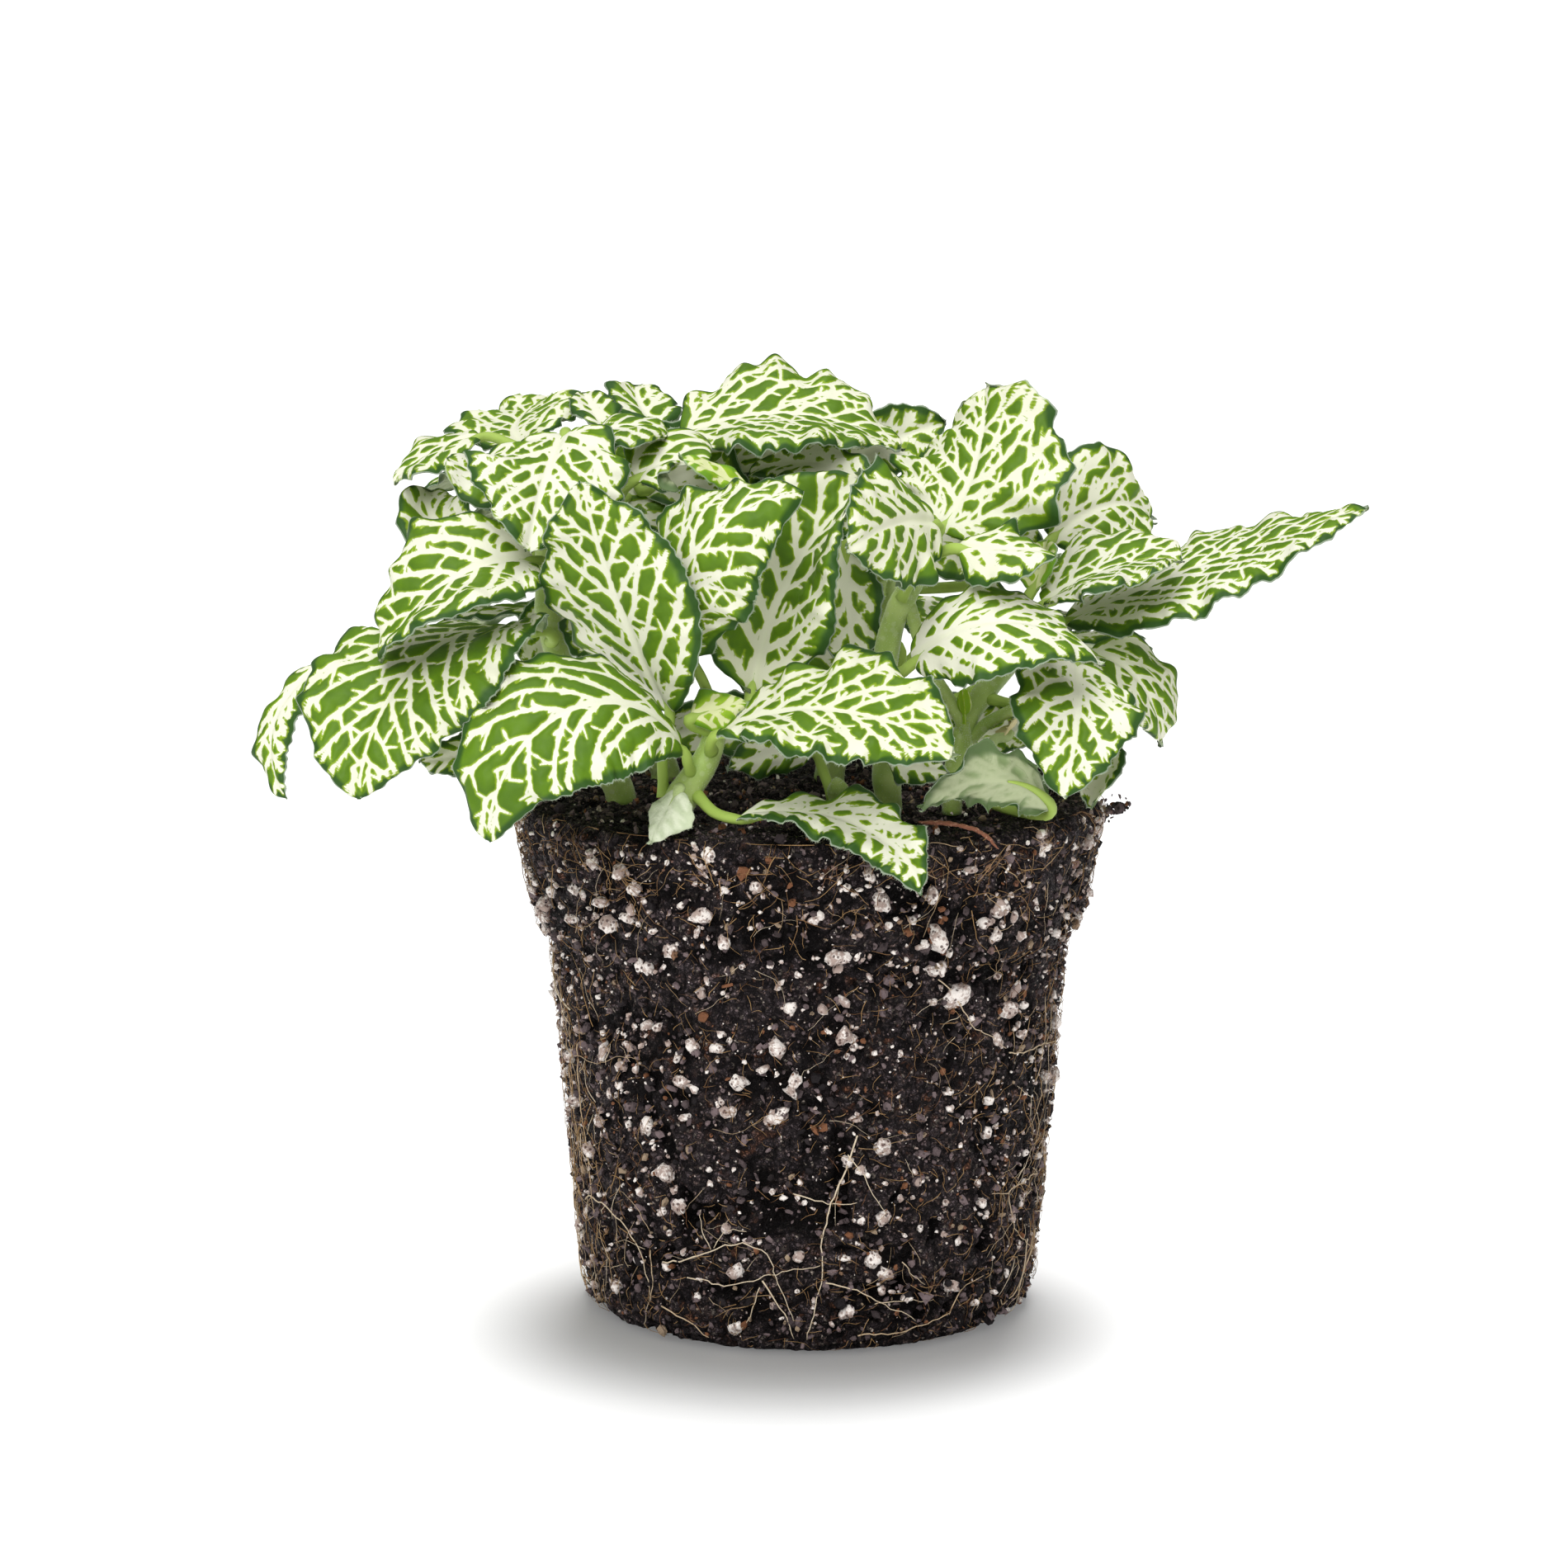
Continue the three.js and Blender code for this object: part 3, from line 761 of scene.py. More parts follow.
def soil_material():
    """Moist peat: crumbs of two sizes, black to brown, some rusty or tan, with painted shade, near
    black, in the gaps between them and in the hollows, and pale specks on the finest ones that are
    painted glints, partly standing for fine perlite dust."""
    made, nodes, shader = material("peat")
    grain = placed(nodes, SPECKLE, 0.0010)
    big = placed(nodes, CRUMBLE, 0.0017)
    small = placed(nodes, CRUMBLE, 0.0006)
    soil = nodes.mix(nodes.ease(big["Shade"], 0.1, 0.9), (0.033, 0.026, 0.029), (0.200, 0.155, 0.165))
    soil = nodes.mix(nodes.ease(small["Shade"], 0.30, 0.75, 0.55, 0.0), soil, (0.018, 0.013, 0.014))
    soil = nodes.mix(nodes.ease(small["Shade"], 0.76, 0.86, 0.0, 0.8), soil, (0.245, 0.170, 0.153))
    rust = nodes.times(nodes.ease(grain["Coarse"], 0.48, 0.66),
                       nodes.ease(big["Shade"], 0.72, 0.80))
    soil = nodes.mix(nodes.times(rust, 0.8), soil, (0.20, 0.078, 0.036))
    # Pale specks on the finest crumbs: painted glints, partly standing for fine perlite dust.
    soil = nodes.mix(nodes.ease(small["Shade"], 0.955, 0.965), soil, (0.50, 0.42, 0.36))
    # Painted shade: the gaps between the crumbs are painted near black; the same mask also sinks them in
    # the bump.
    crack_depth_and_painted_shade = nodes.math("MAXIMUM", nodes.times(big["Crack"], 0.9),
                        nodes.times(small["Crack"], 0.75))
    soil = nodes.mix(crack_depth_and_painted_shade, soil, (0.003, 0.002, 0.002))
    # Painted shade: where the relief sinks, its crest value is low and the peat is painted near black.
    painted_hollow_shade = nodes.ease(nodes.value("crest"), 0.12, 0.52, 0.94, 0.0)
    soil = nodes.mix(painted_hollow_shade, soil, (0.003, 0.002, 0.002))
    height = nodes.plus(nodes.times(small["Shade"], 0.5),
                        nodes.times(nodes.math("SUBTRACT", 1.0, crack_depth_and_painted_shade), 0.8))
    height = nodes.plus(height, nodes.times(big["Shade"], 0.6))
    set_shader(nodes, shader, Base_Color=soil, Normal=nodes.bump(height, 1.0, 0.0009),
               Roughness=nodes.ease(small["Shade"], 0.1, 0.9, 0.85, 0.45), Specular_IOR_Level=0.12)
    return made


def crumb_material():
    """Loose peat crumbs, each its own brown by its shade value."""
    made, nodes, shader = material("peat_crumb")
    grain = placed(nodes, SPECKLE, 0.0006)
    shade = nodes.value("shade")
    soil = nodes.mix(nodes.ease(shade, 0.1, 0.8), (0.016, 0.013, 0.014), (0.188, 0.140, 0.143))
    soil = nodes.mix(nodes.ease(shade, 0.86, 0.90), soil, (0.22, 0.095, 0.048))
    soil = nodes.mix(nodes.ease(shade, 0.95, 0.96), soil, (0.34, 0.25, 0.17))
    soil = nodes.mix(nodes.times(grain["Pits"], 0.6), soil, (0.005, 0.004, 0.004))
    set_shader(nodes, shader, Base_Color=soil, Roughness=0.7,
               Normal=nodes.bump(grain["Fine"], 0.9, 0.0005), Specular_IOR_Level=0.12)
    return made


def perlite_material():
    """Chalky white grains with dark pores and soil rubbed into their hollows."""
    made, nodes, shader = material("perlite_grain")
    grain = placed(nodes, SPECKLE, 0.0006)
    dirt = nodes.plus(grain["Coarse"], nodes.times(grain["Fine"], 0.7))
    dirt = nodes.ease(dirt, 0.74, 0.95)
    chalk = nodes.mix(grain["Fine"], (0.97, 0.92, 0.87), (0.84, 0.75, 0.69))
    chalk = nodes.mix(nodes.times(dirt, 0.72), chalk, (0.22, 0.11, 0.075))
    chalk = nodes.mix(nodes.times(grain["Pits"], 0.85), chalk, (0.06, 0.025, 0.020))
    set_shader(nodes, shader, Base_Color=chalk, Roughness=0.9,
               Normal=nodes.bump(grain["Fine"], 0.6, 0.0005))
    return made


def root_material():
    """Roots and fibres: cream, tan or rust by each one's shade value."""
    made, nodes, shader = material("root_skin")
    grain = placed(nodes, SPECKLE, 0.0008)
    shade = nodes.value("shade")
    skin = nodes.mix(nodes.ease(shade, 0.0, 0.5), (0.80, 0.68, 0.50), (0.46, 0.28, 0.12))
    skin = nodes.mix(nodes.ease(shade, 0.5, 1.0), skin, (0.13, 0.050, 0.022))
    skin = nodes.mix(nodes.times(grain["Fine"], 0.4), skin, (0.22, 0.13, 0.07))
    set_shader(nodes, shader, Base_Color=skin, Roughness=0.7,
               Normal=nodes.bump(grain["Fine"], 0.5, 0.0002), Specular_IOR_Level=0.2)
    return made


def bark_material():
    """Rust-brown bark with long pale and dark fibres."""
    made, nodes, shader = material("bark_skin")
    grain = placed(nodes, SPECKLE, 0.0006)
    skin = nodes.mix(grain["Coarse"], (0.30, 0.11, 0.055), (0.13, 0.045, 0.025))
    skin = nodes.mix(nodes.ease(grain["Fine"], 0.58, 0.7), skin, (0.52, 0.30, 0.20))
    set_shader(nodes, shader, Base_Color=skin, Roughness=0.8,
               Normal=nodes.bump(grain["Fine"], 0.9, 0.0006))
    return made


def hair_material():
    """Short colourless hairs on leaf margins and stems."""
    made, nodes, shader = material("plant_hair")
    tint = nodes.mix(nodes.noise(nodes.place(), 400.0), (0.78, 0.84, 0.66), (0.60, 0.70, 0.44))
    set_shader(nodes, shader, Base_Color=tint, Roughness=0.5)
    return made


def withered_material():
    """A dried leaf: papery grey-green with fine pale lines and small dark spots."""
    made, nodes, shader = material("withered_skin")
    grain = placed(nodes, SPECKLE, 0.0009)
    skin = nodes.mix(grain["Coarse"], (0.60, 0.66, 0.46), (0.42, 0.50, 0.30))
    skin = nodes.mix(nodes.ease(nodes.value("vein"), -0.3, 0.5, 0.7, 0.0), skin, (0.74, 0.78, 0.60))
    skin = nodes.mix(nodes.ease(nodes.value("tone"), 0.6, 0.9), skin, (0.74, 0.64, 0.34))
    skin = nodes.mix(nodes.ease(grain["Fine"], 0.70, 0.74), skin, (0.06, 0.05, 0.04))
    skin = nodes.mix(nodes.ease(nodes.value("face"), -0.6, -0.4, 1.0, 0.0), skin, (0.40, 0.50, 0.20))
    set_shader(nodes, shader, Base_Color=skin, Roughness=0.8,
               Normal=nodes.bump(grain["Fine"], 0.6, 0.0006))
    return made


GREEN = leaf_material("leaf_skin", (0.112, 0.226, 0.008), (0.024, 0.076, 0.013),
                      (0.82, 0.82, 0.67), (0.24, 0.32, 0.14))
YOUNG = leaf_material("young_leaf_skin", (0.30, 0.50, 0.020), (0.15, 0.33, 0.02),
                      (0.80, 0.84, 0.46), (0.40, 0.54, 0.14))
STEM = stem_material()
SOIL = soil_material()
CRUMB = crumb_material()
PERLITE = perlite_material()
ROOT = root_material()
BARK = bark_material()
HAIR = hair_material()
WITHERED = withered_material()

# ---- root ball ---------------------------------------------------------------------------


def ball_profile():
    """The root ball's profile from the frame: radii and heights up its wall."""
    points, _ = solid("root_ball")
    radius = np.hypot(points[:, 0], points[:, 1])
    heights = np.unique(np.round(points[:, 2], 2))
    wide = np.array([radius[np.abs(points[:, 2] - h) < 0.02].max() for h in heights])
    return np.stack([wide, heights], -1)


WALL = ball_profile()
TOP = WALL[-1, 1]


def ball_point(angle, height, out=0.0):
    """A point on the root ball's wall at an angle and a height, set out from it."""
    radius = np.interp(height, WALL[:, 1], WALL[:, 0]) + out
    return np.stack([radius * np.cos(angle), radius * np.sin(angle), height], -1)


BALL_ROWS, BALL_COLUMNS = 214, 430  # the soil's grid: down its profile and round the axis


def root_ball():
    """The soil: its profile turned round the axis, roughened by noise of several sizes.

    Lumps stand out and pits sink in along the profile's normal; the underside stays flat.
    """
    line = np.concatenate([[[0.0, WALL[0, 1]]], WALL, [[0.0, TOP]]])
    far = run_length(line)
    along = np.linspace(0, far[-1], BALL_ROWS)
    radius, height = (np.interp(along, far, line[:, k]) for k in (0, 1))
    soft = np.array([1.0, 2.0, 3.0, 2.0, 1.0])
    soft = soft / soft.sum()
    for values in (radius, height):
        values[2:-2] = np.convolve(values, soft, "valid")
    tangent = unit(np.stack([np.gradient(radius), np.gradient(height)], -1))
    angle = np.linspace(0, 2 * np.pi, BALL_COLUMNS, endpoint=False)

    def turned(across, up):
        """A profile's sizes across and up, turned round the axis."""
        return np.stack([across[:, None] * np.cos(angle), across[:, None] * np.sin(angle),
                         np.broadcast_to(up[:, None], (BALL_ROWS, BALL_COLUMNS))], -1)

    points = turned(radius, height)
    normal = turned(tangent[:, 1], -tangent[:, 0])
    lumps = (0.8 * noise(points, 9.0, 1) + 0.6 * noise(points, 3.8, 2)
             + 1.25 * np.abs(noise(points, 2.5, 3)) ** 0.7
             + 0.7 * np.abs(noise(points, 1.45, 7)) ** 0.7 - 1.75)
    low = np.clip(1.25 - points[..., 2] / 60, 0.3, 1)
    holes = np.clip(noise(points, 6.0, 4) * 0.7 + noise(points, 3.0, 5) * 0.5 - 0.42, 0, 0.5) * 12 * low
    crest = np.clip((points[..., 2] - TOP + 4) / 4, 0, 1)
    heave = crest * (1.2 * noise(points, 16.0, 6) + 0.3)
    relief = lumps - holes
    points = points + normal * (relief + heave)[..., None]
    flat = np.clip(height / 1.5, 0, 1)[:, None]
    points[..., 2] = np.where(points[..., 2] < 1.5, points[..., 2] * flat, points[..., 2])
    points[..., 2] = np.clip(points[..., 2], 0, None)
    points[0] = (0, 0, 0)
    points[-1] = points[-1].mean(0)
    shape, faces, kept = welded(points.reshape(-1, 3), grid_faces(BALL_ROWS, BALL_COLUMNS, closed=True))
    # The relief's height from 0 to 1, which the peat's material uses to paint shade into the hollows.
    values = np.clip((relief + 2.0) / 2.4, 0, 1).ravel()[kept]
    made = piece("soil_body", shape, faces, SOIL, {"crest": values})
    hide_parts("root_ball")
    return made


def ball(detail):
    """A unit ball: an icosahedron whose edges are halved as many times as detail says."""
    g = (1 + 5**0.5) / 2
    points = unit(np.array([(-1, g, 0), (1, g, 0), (-1, -g, 0), (1, -g, 0), (0, -1, g), (0, 1, g),
                            (0, -1, -g), (0, 1, -g), (g, 0, -1), (g, 0, 1), (-g, 0, -1), (-g, 0, 1)]))
    faces = np.array([(0, 11, 5), (0, 5, 1), (0, 1, 7), (0, 7, 10), (0, 10, 11), (1, 5, 9), (5, 11, 4),
                      (11, 10, 2), (10, 7, 6), (7, 1, 8), (3, 9, 4), (3, 4, 2), (3, 2, 6), (3, 6, 8),
                      (3, 8, 9), (4, 9, 5), (2, 4, 11), (6, 2, 10), (8, 6, 7), (9, 8, 1)])
    for _ in range(detail):
        a, b, c = (points[faces[:, k]] for k in range(3))
        corners = np.concatenate([a, b, c, unit(a + b), unit(b + c), unit(c + a)])
        k = np.arange(len(faces))
        n = len(faces)
        cut = [(0, 3, 5), (3, 1, 4), (5, 4, 2), (3, 4, 5)]
        split = np.concatenate([np.stack([k + n * i for i in t], -1) for t in cut])
        points, faces, _ = welded(corners, split)
    return points, faces


def scattered(name, places, sizes, squash, detail, material, seed, shades=None):
    """Many rough grains as one mesh: a unit ball swollen by noise, stretched, turned and placed."""
    rng = np.random.default_rng(seed)
    shape, faces = ball(detail)
    count = len(places)
    turn = np.linalg.qr(rng.normal(size=(count, 3, 3)))[0]
    turn *= np.sign(np.linalg.det(turn))[:, None, None]
    body = np.broadcast_to(shape, (count, *shape.shape))
    away = rng.uniform(-900, 900, (count, 1, 3))
    swell = 0.55 * noise(body * 1.1 + away, 1.0, seed) + 0.25 * noise(body * 2.7 + away, 1.0, seed)
    body = body * (1 + swell)[..., None]
    body = body * rng.uniform(squash, 1.3, (count, 3))[:, None]
    body = np.einsum("nij,nkj->nki", turn, body) * sizes[:, None, None] + places[:, None]
    body[..., 2] = np.clip(body[..., 2], 0.02, None)
    triangles = (faces[None] + np.arange(count)[:, None, None] * len(shape)).reshape(-1, 3)
    values = {} if shades is None else {"shade": np.repeat(shades, len(shape))}
    piece(name, body.reshape(-1, 3), triangles, material, values, smooth=detail > 0)


def wall_places(rng, count, bias, out):
    """Random places on the wall; bias above 1 gathers them towards the top."""
    height = 1.5 + (TOP - 3) * rng.uniform(0, 1, count) ** (1 / bias)
    return ball_point(rng.uniform(0, 2 * np.pi, count), height, out)


def top_places(rng, count, out):
    """Random places on the soil's top, evenly by area."""
    radius = (WALL[-1, 0] - 0.5) * np.sqrt(rng.uniform(0, 1, count))
    angle = rng.uniform(0, 2 * np.pi, count)
    return np.stack([radius * np.cos(angle), radius * np.sin(angle), TOP + out + 0 * angle], -1)


def crumbs():
    """Loose peat on the wall, on the top, round the foot and in a clot at the right rim."""
    rng = np.random.default_rng(11)
    clot = np.array([55.5, -8.0, 97.5]) + rng.uniform(0, 1, (110, 1)) ** 1.5 * (5.5, -1.0, 2.0)
    clot = clot + rng.normal(0, 0.7, clot.shape)
    places = np.concatenate([wall_places(rng, 6400, 1.0, rng.uniform(-0.9, 0.1, 6400)),
                             top_places(rng, 1900, rng.uniform(-0.5, 0.5, 1900)), clot])
    sizes = 0.28 + 0.8 * rng.uniform(0, 1, len(places)) ** 2.6
    scattered("peat_crumbs", places, sizes, 0.4, 0, CRUMB, 12, rng.uniform(0, 1, len(places)))


# The largest perlite grains on the front: degrees right of the front, height, radius.
FRONT_GRAINS = np.array([
    (17.2, 40.9, 2.2), (17.8, 27.0, 1.5), (9.3, 8.6, 1.7), (-27.1, 60.3, 1.7), (-15.8, 53.7, 1.7),
    (26.1, 81.6, 2.5), (5.4, 79.0, 1.8), (34.0, 69.1, 2.3), (-35.7, 34.4, 1.7), (45.3, 26.9, 1.3),
    (-18.7, 4.9, 1.4), (8.0, 63.0, 1.8), (-8.0, 47.0, 1.5), (41.0, 86.0, 1.7), (-22.0, 86.0, 1.6),
])


def perlite():
    """Perlite: big pored grains, fewer low down, and many small ones between."""
    rng = np.random.default_rng(21)
    front_sizes = FRONT_GRAINS[:, 2]
    front = ball_point(np.radians(FRONT_GRAINS[:, 0] - 90), FRONT_GRAINS[:, 1], -0.35 * front_sizes)
    scattered("perlite_front", front, front_sizes, 0.6, 2, PERLITE, 24)
    big_sizes = 0.6 + 1.1 * rng.uniform(0, 1, 640) ** 2.0
    scattered("perlite_large", wall_places(rng, 640, 1.5, -0.4 * big_sizes), big_sizes, 0.5, 1, PERLITE,
              22)
    small = np.concatenate([wall_places(rng, 2900, 1.5, rng.uniform(-0.45, 0.05, 2900)),
                            top_places(rng, 200, 0.1)])
    small_sizes = 0.12 + 0.55 * rng.uniform(0, 1, len(small)) ** 2.2
    scattered("perlite_small", small, small_sizes, 0.5, 0, PERLITE, 23)


def strand(rng, angle, height, drift, length, radius, out):
    """A root or fibre on the wall: a random walk in angle and height, as a thin tapered tube."""
    steps = max(5, int(length / 1.3))
    bend = np.cumsum(rng.normal(0, 0.30, steps))
    way = drift + 0.8 * (bend - bend.mean())
    step = length / steps
    heights = np.clip(height + np.cumsum(np.sin(way)) * step, 0.6, TOP - 0.5)
    around = angle + np.cumsum(np.cos(way)) * step / np.interp(height, WALL[:, 1], WALL[:, 0])
    lift = out + 0.35 * np.sin(np.linspace(0, rng.uniform(2, 7), steps)) + rng.normal(0, 0.05, steps)
    path = ball_point(around, heights, lift)
    taper = np.linspace(1, 0.45, steps)
    return path, radius * taper


def strands(name, seed, spread, count, radius, shades, out, sides=3):
    """Many strands as one mesh; spread gives each one's angle, height, heading and length."""
    rng = np.random.default_rng(seed)
    parts, tones = [], []
    for _ in range(count):
        angle, height, drift, length = spread(rng)
        path, thick = strand(rng, angle, height, drift, length, radius * rng.uniform(0.6, 1.3), out)
        parts.append(tube(path, thick, sides, 1.0, (0.3, 0.2, 0.9)))
        tones.append(rng.uniform(*shades))
    points, faces, counts = joined(parts)
    shape, faces, kept = welded(points, faces)
    shade = np.repeat(tones, counts)[kept]
    piece(name, shape, faces, ROOT, {"shade": shade})


def on_wall(points):
    """A swaying path through given places on the wall, each (degrees right of the front, height)."""
    given = np.array(points, float)
    far = run_length(given * (0.85, 1.0))
    fine = through(far, given, np.linspace(0, far[-1], max(8, int(far[-1] / 1.2))))
    rng = np.random.default_rng(len(points) * 97 + int(given[0, 1]))
    lift = 0.1 + 0.3 * np.abs(np.sin(np.linspace(0, 5, len(fine)))) + rng.normal(0, 0.06, len(fine))
    sway = np.cumsum(rng.normal(0, 0.22, (len(fine), 2)), axis=0)
    sway -= np.linspace(0, 1, len(fine))[:, None] * sway[-1]
    return ball_point(np.radians(fine[:, 0] - 90 + sway[:, 0]), fine[:, 1] + sway[:, 1], lift)


# Main roots on the front, each a path of (degrees right of the front, height) and a radius.
FRONT_ROOTS = [
    ([(11.0, 43.8), (7.8, 33.4), (5.2, 24.9), (3.8, 15.5), (-0.6, 3.4)], 0.27),
    ([(8.6, 39.8), (13.1, 34.4), (17.9, 28.0)], 0.18),
    ([(-4.2, 32.5), (1.7, 31.0), (10.9, 30.5)], 0.20),
    ([(-38.2, 16.1), (-27.7, 18.6), (-19.0, 21.0), (-11.2, 20.2), (-7.1, 13.7), (-3.8, 7.2)], 0.23),
    ([(-24.1, 20.1), (-25.9, 24.1), (-26.1, 28.0)], 0.16),
    ([(-23.3, 20.5), (-18.3, 24.7), (-14.8, 24.6)], 0.16),
    ([(-31.0, 14.3), (-20.4, 13.7), (-10.1, 16.1), (2.5, 18.3)], 0.20),
    ([(-11.3, 14.9), (-6.6, 8.8), (-3.8, 3.5)], 0.25),
    ([(-12.1, 13.6), (-15.4, 6.8), (-18.9, 3.5)], 0.18),
    ([(3.8, 14.8), (13.9, 11.5), (20.3, 8.9), (26.7, 5.9)], 0.22),
    ([(16.0, 10.1), (22.4, 10.2), (31.5, 9.6)], 0.15),
    ([(22.4, 18.3), (25.3, 15.9), (28.9, 12.9)], 0.18),
    ([(28.1, 72.7), (33.7, 67.8), (38.7, 62.4), (49.0, 57.0)], 0.20),
    ([(50.6, 55.9), (60.5, 55.4), (81.4, 51.8)], 0.22),
    ([(86.0, 29.7), (62.6, 28.5), (55.5, 27.2), (57.9, 21.1), (73.9, 12.4)], 0.22),
    ([(55.5, 27.2), (48.0, 28.4)], 0.16),
    ([(-41.9, 18.5), (-40.9, 13.2), (-42.3, 8.0)], 0.20),
    ([(-39.6, 7.6), (-31.0, 5.4), (-25.8, 2.5)], 0.24),
    ([(12.2, 3.6), (25.1, 4.3), (36.8, 6.3)], 0.22),
    ([(36.8, 6.3), (40.3, 10.8), (47.3, 12.2)], 0.18),
    ([(-65.3, 55.6), (-65.9, 44.4), (-65.6, 32.9), (-63.8, 21.7)], 0.20),
    ([(-73.2, 49.6), (-71.3, 38.4), (-69.0, 25.7)], 0.18),
]


def roots():
    """Roots and fibres: the main ones on given paths, others low down at the back and sides,
    hair roots, rusty fibres everywhere, mats of fibre down the sides and some at the rim."""
    paths = [on_wall(path) for path, _ in FRONT_ROOTS]
    parts = [tube(path, np.linspace(0.66, 0.34, len(path)) * radius, 6)
             for path, (_, radius) in zip(paths, FRONT_ROOTS)]
    points, faces, counts = joined(parts)
    shape, faces, kept = welded(points, faces)
    shade = np.repeat(np.linspace(0.0, 0.3, len(parts)), counts)[kept]
    piece("main_roots", shape, faces, ROOT, {"shade": shade})

    def low(rng):
        angle = rng.uniform(-0.4, 3.6)  # the back and sides, as the front has its own
        height = rng.uniform(1, 26) if rng.uniform() < 0.75 else rng.uniform(26, 80)
        return angle, height, rng.uniform(0, 2 * np.pi), rng.uniform(12, 42)

    def anywhere(short, long):
        return lambda rng: (rng.uniform(0, 2 * np.pi), rng.uniform(2, TOP - 1),
                            rng.uniform(0, 2 * np.pi), rng.uniform(short, long))

    def mat(rng):
        angle = rng.choice((-2.78, -2.72, -0.42, 0.7, 1.9, 2.6)) + rng.normal(0, 0.13)
        height = 8 + 58 * rng.uniform(0, 1) ** 1.3
        return angle, height, rng.choice((-1.57, 1.57)) + rng.normal(0, 0.7), rng.uniform(3, 13)

    def rim(rng):
        return (rng.uniform(0, 2 * np.pi), rng.uniform(TOP - 14, TOP),
                rng.uniform(0, 2 * np.pi), rng.uniform(3, 12))

    strands("side_roots", 31, low, count=46, radius=0.15, shades=(0.0, 0.4), out=0.15, sides=5)
    strands("hair_roots", 32, anywhere(4, 14), count=300, radius=0.06, shades=(0.05, 0.5), out=0.3)
    strands("peat_fibres", 33, anywhere(1.5, 6), count=3000, radius=0.07, shades=(0.4, 1.0), out=0.2)
    strands("side_mats", 34, mat, count=430, radius=0.08, shades=(0.05, 0.7), out=0.35)
    strands("rim_fibres", 35, rim, count=420, radius=0.085, shades=(0.3, 0.9), out=0.35)


# ---- stems, bark and hair ----------------------------------------------------------------

STEM_LINES = []  # each stem's middle line


def stem(node):
    """A stem around its solid: the same line and girth, with swollen joints and a slight waver in girth.
    """
    points, _, layers = rings_of(node)
    if points[layers[0][0], 2] > points[layers[-1][0], 2]:
        layers = layers[::-1]
    line = np.array([points[r].mean(0) for r in layers[1:-1]])
    girth = np.array([ring_reach(points, r) for r in layers[1:-1]])
    line = np.concatenate([line[:1] - (0, 0, 3.0), line])
    girth = np.concatenate([girth[:1] * 1.1, girth])
    far = run_length(line)
    count = max(16, int(far[-1] / 1.0))
    at = np.linspace(0, far[-1], count)
    path = through(far, line, at)
    rng = np.random.default_rng(len(points) + int(far[-1] * 10))
    radius = np.interp(at, far, girth) * (1 + 0.05 * np.sin(at / 2.7 + rng.uniform(0, 6)))
    radius *= 1 + 0.16 * np.exp(-(((at % 17.0) - 8.5) / 2.2) ** 2)
    dome = np.clip((far[-1] - at) / 2.0, 0.03, 1) ** 0.5
    shape, faces = tube(path, radius * dome, 24)
    shape, faces, _ = welded(shape, faces)
    made = piece("fine_" + node, shape, faces, STEM)
    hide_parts(node)
    STEM_LINES.append(path)
    return made


def bark_chip():
    """The bark sliver around its solid: split ends, a ragged edge and long ridges."""
    points, _ = solid("bark_chip")
    middle = points.mean(0)
    run = np.linalg.svd(points - middle)[2][0]
    order = (points - middle) @ run
    at = np.linspace(order.min(), order.max(), 42)
    knots = np.linspace(order.min(), order.max(), 7)
    line = np.array([points[np.abs(order - k) < 1.8].mean(0) for k in knots])
    path = through(knots, line, at)
    rng = np.random.default_rng(5)
    radius = 1.05 * np.interp(at, [at[0], at[0] + 2, at[-1] - 3, at[-1]], [0.35, 1, 0.8, 0.25])
    shape, faces = tube(path, radius * rng.uniform(0.85, 1.1, len(at)), 14, 0.42, (0.2, 0.1, 1.0))
    shape = shape + 0.12 * noise(shape * (1, 1, 2), 0.7, 9)[:, None]
    shape, faces, _ = welded(shape, faces)
    made = piece("fine_bark_chip", shape, faces, BARK)
    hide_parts("bark_chip")


def hairs(name, places, ways, rng, low, high, width):
    """Short tapering hairs as thin three-sided spikes: from lists of places, along ways that
    are stirred a little, and low to high millimetres long."""
    places, ways = np.concatenate(places), np.concatenate(ways)
    ways = unit(ways + rng.normal(0, 0.35, ways.shape))
    lengths = rng.uniform(low, high, len(places))
    side = unit(np.cross(ways, (0.31, 0.17, 0.93)))
    other = np.cross(side, ways)
    base = places - 0.15 * ways
    turn = [0.0, 2.094, 4.189]
    corners = [base + width * (np.cos(a) * side + np.sin(a) * other) for a in turn]
    tips = places + ways * lengths[:, None]
    points = np.stack([*corners, tips], 1).reshape(-1, 3)
    k = 4 * np.arange(len(places))[:, None]
    faces = np.concatenate([k + t for t in ((0, 1, 3), (1, 2, 3), (2, 0, 3), (0, 2, 1))])
    piece(name, points, faces, HAIR, smooth=False)


def surface_hairs(name, objects, seed, share, low, high):
    """Hairs on a random share of some objects' faces, standing out along their normals."""
    rng = np.random.default_rng(seed)
    places, ways = [], []
    for made in objects:
        skin = made.data.polygons
        centres = np.zeros(len(skin) * 3, np.float32)
        normals = centres.copy()
        skin.foreach_get("center", centres)
        skin.foreach_get("normal", normals)
        keep = rng.uniform(0, 1, len(skin)) < share
        places.append(centres.reshape(-1, 3)[keep] / MM)
        ways.append(normals.reshape(-1, 3)[keep])
    hairs(name, places, ways, rng, low, high, 0.035)


# ---- the plant ---------------------------------------------------------------------------

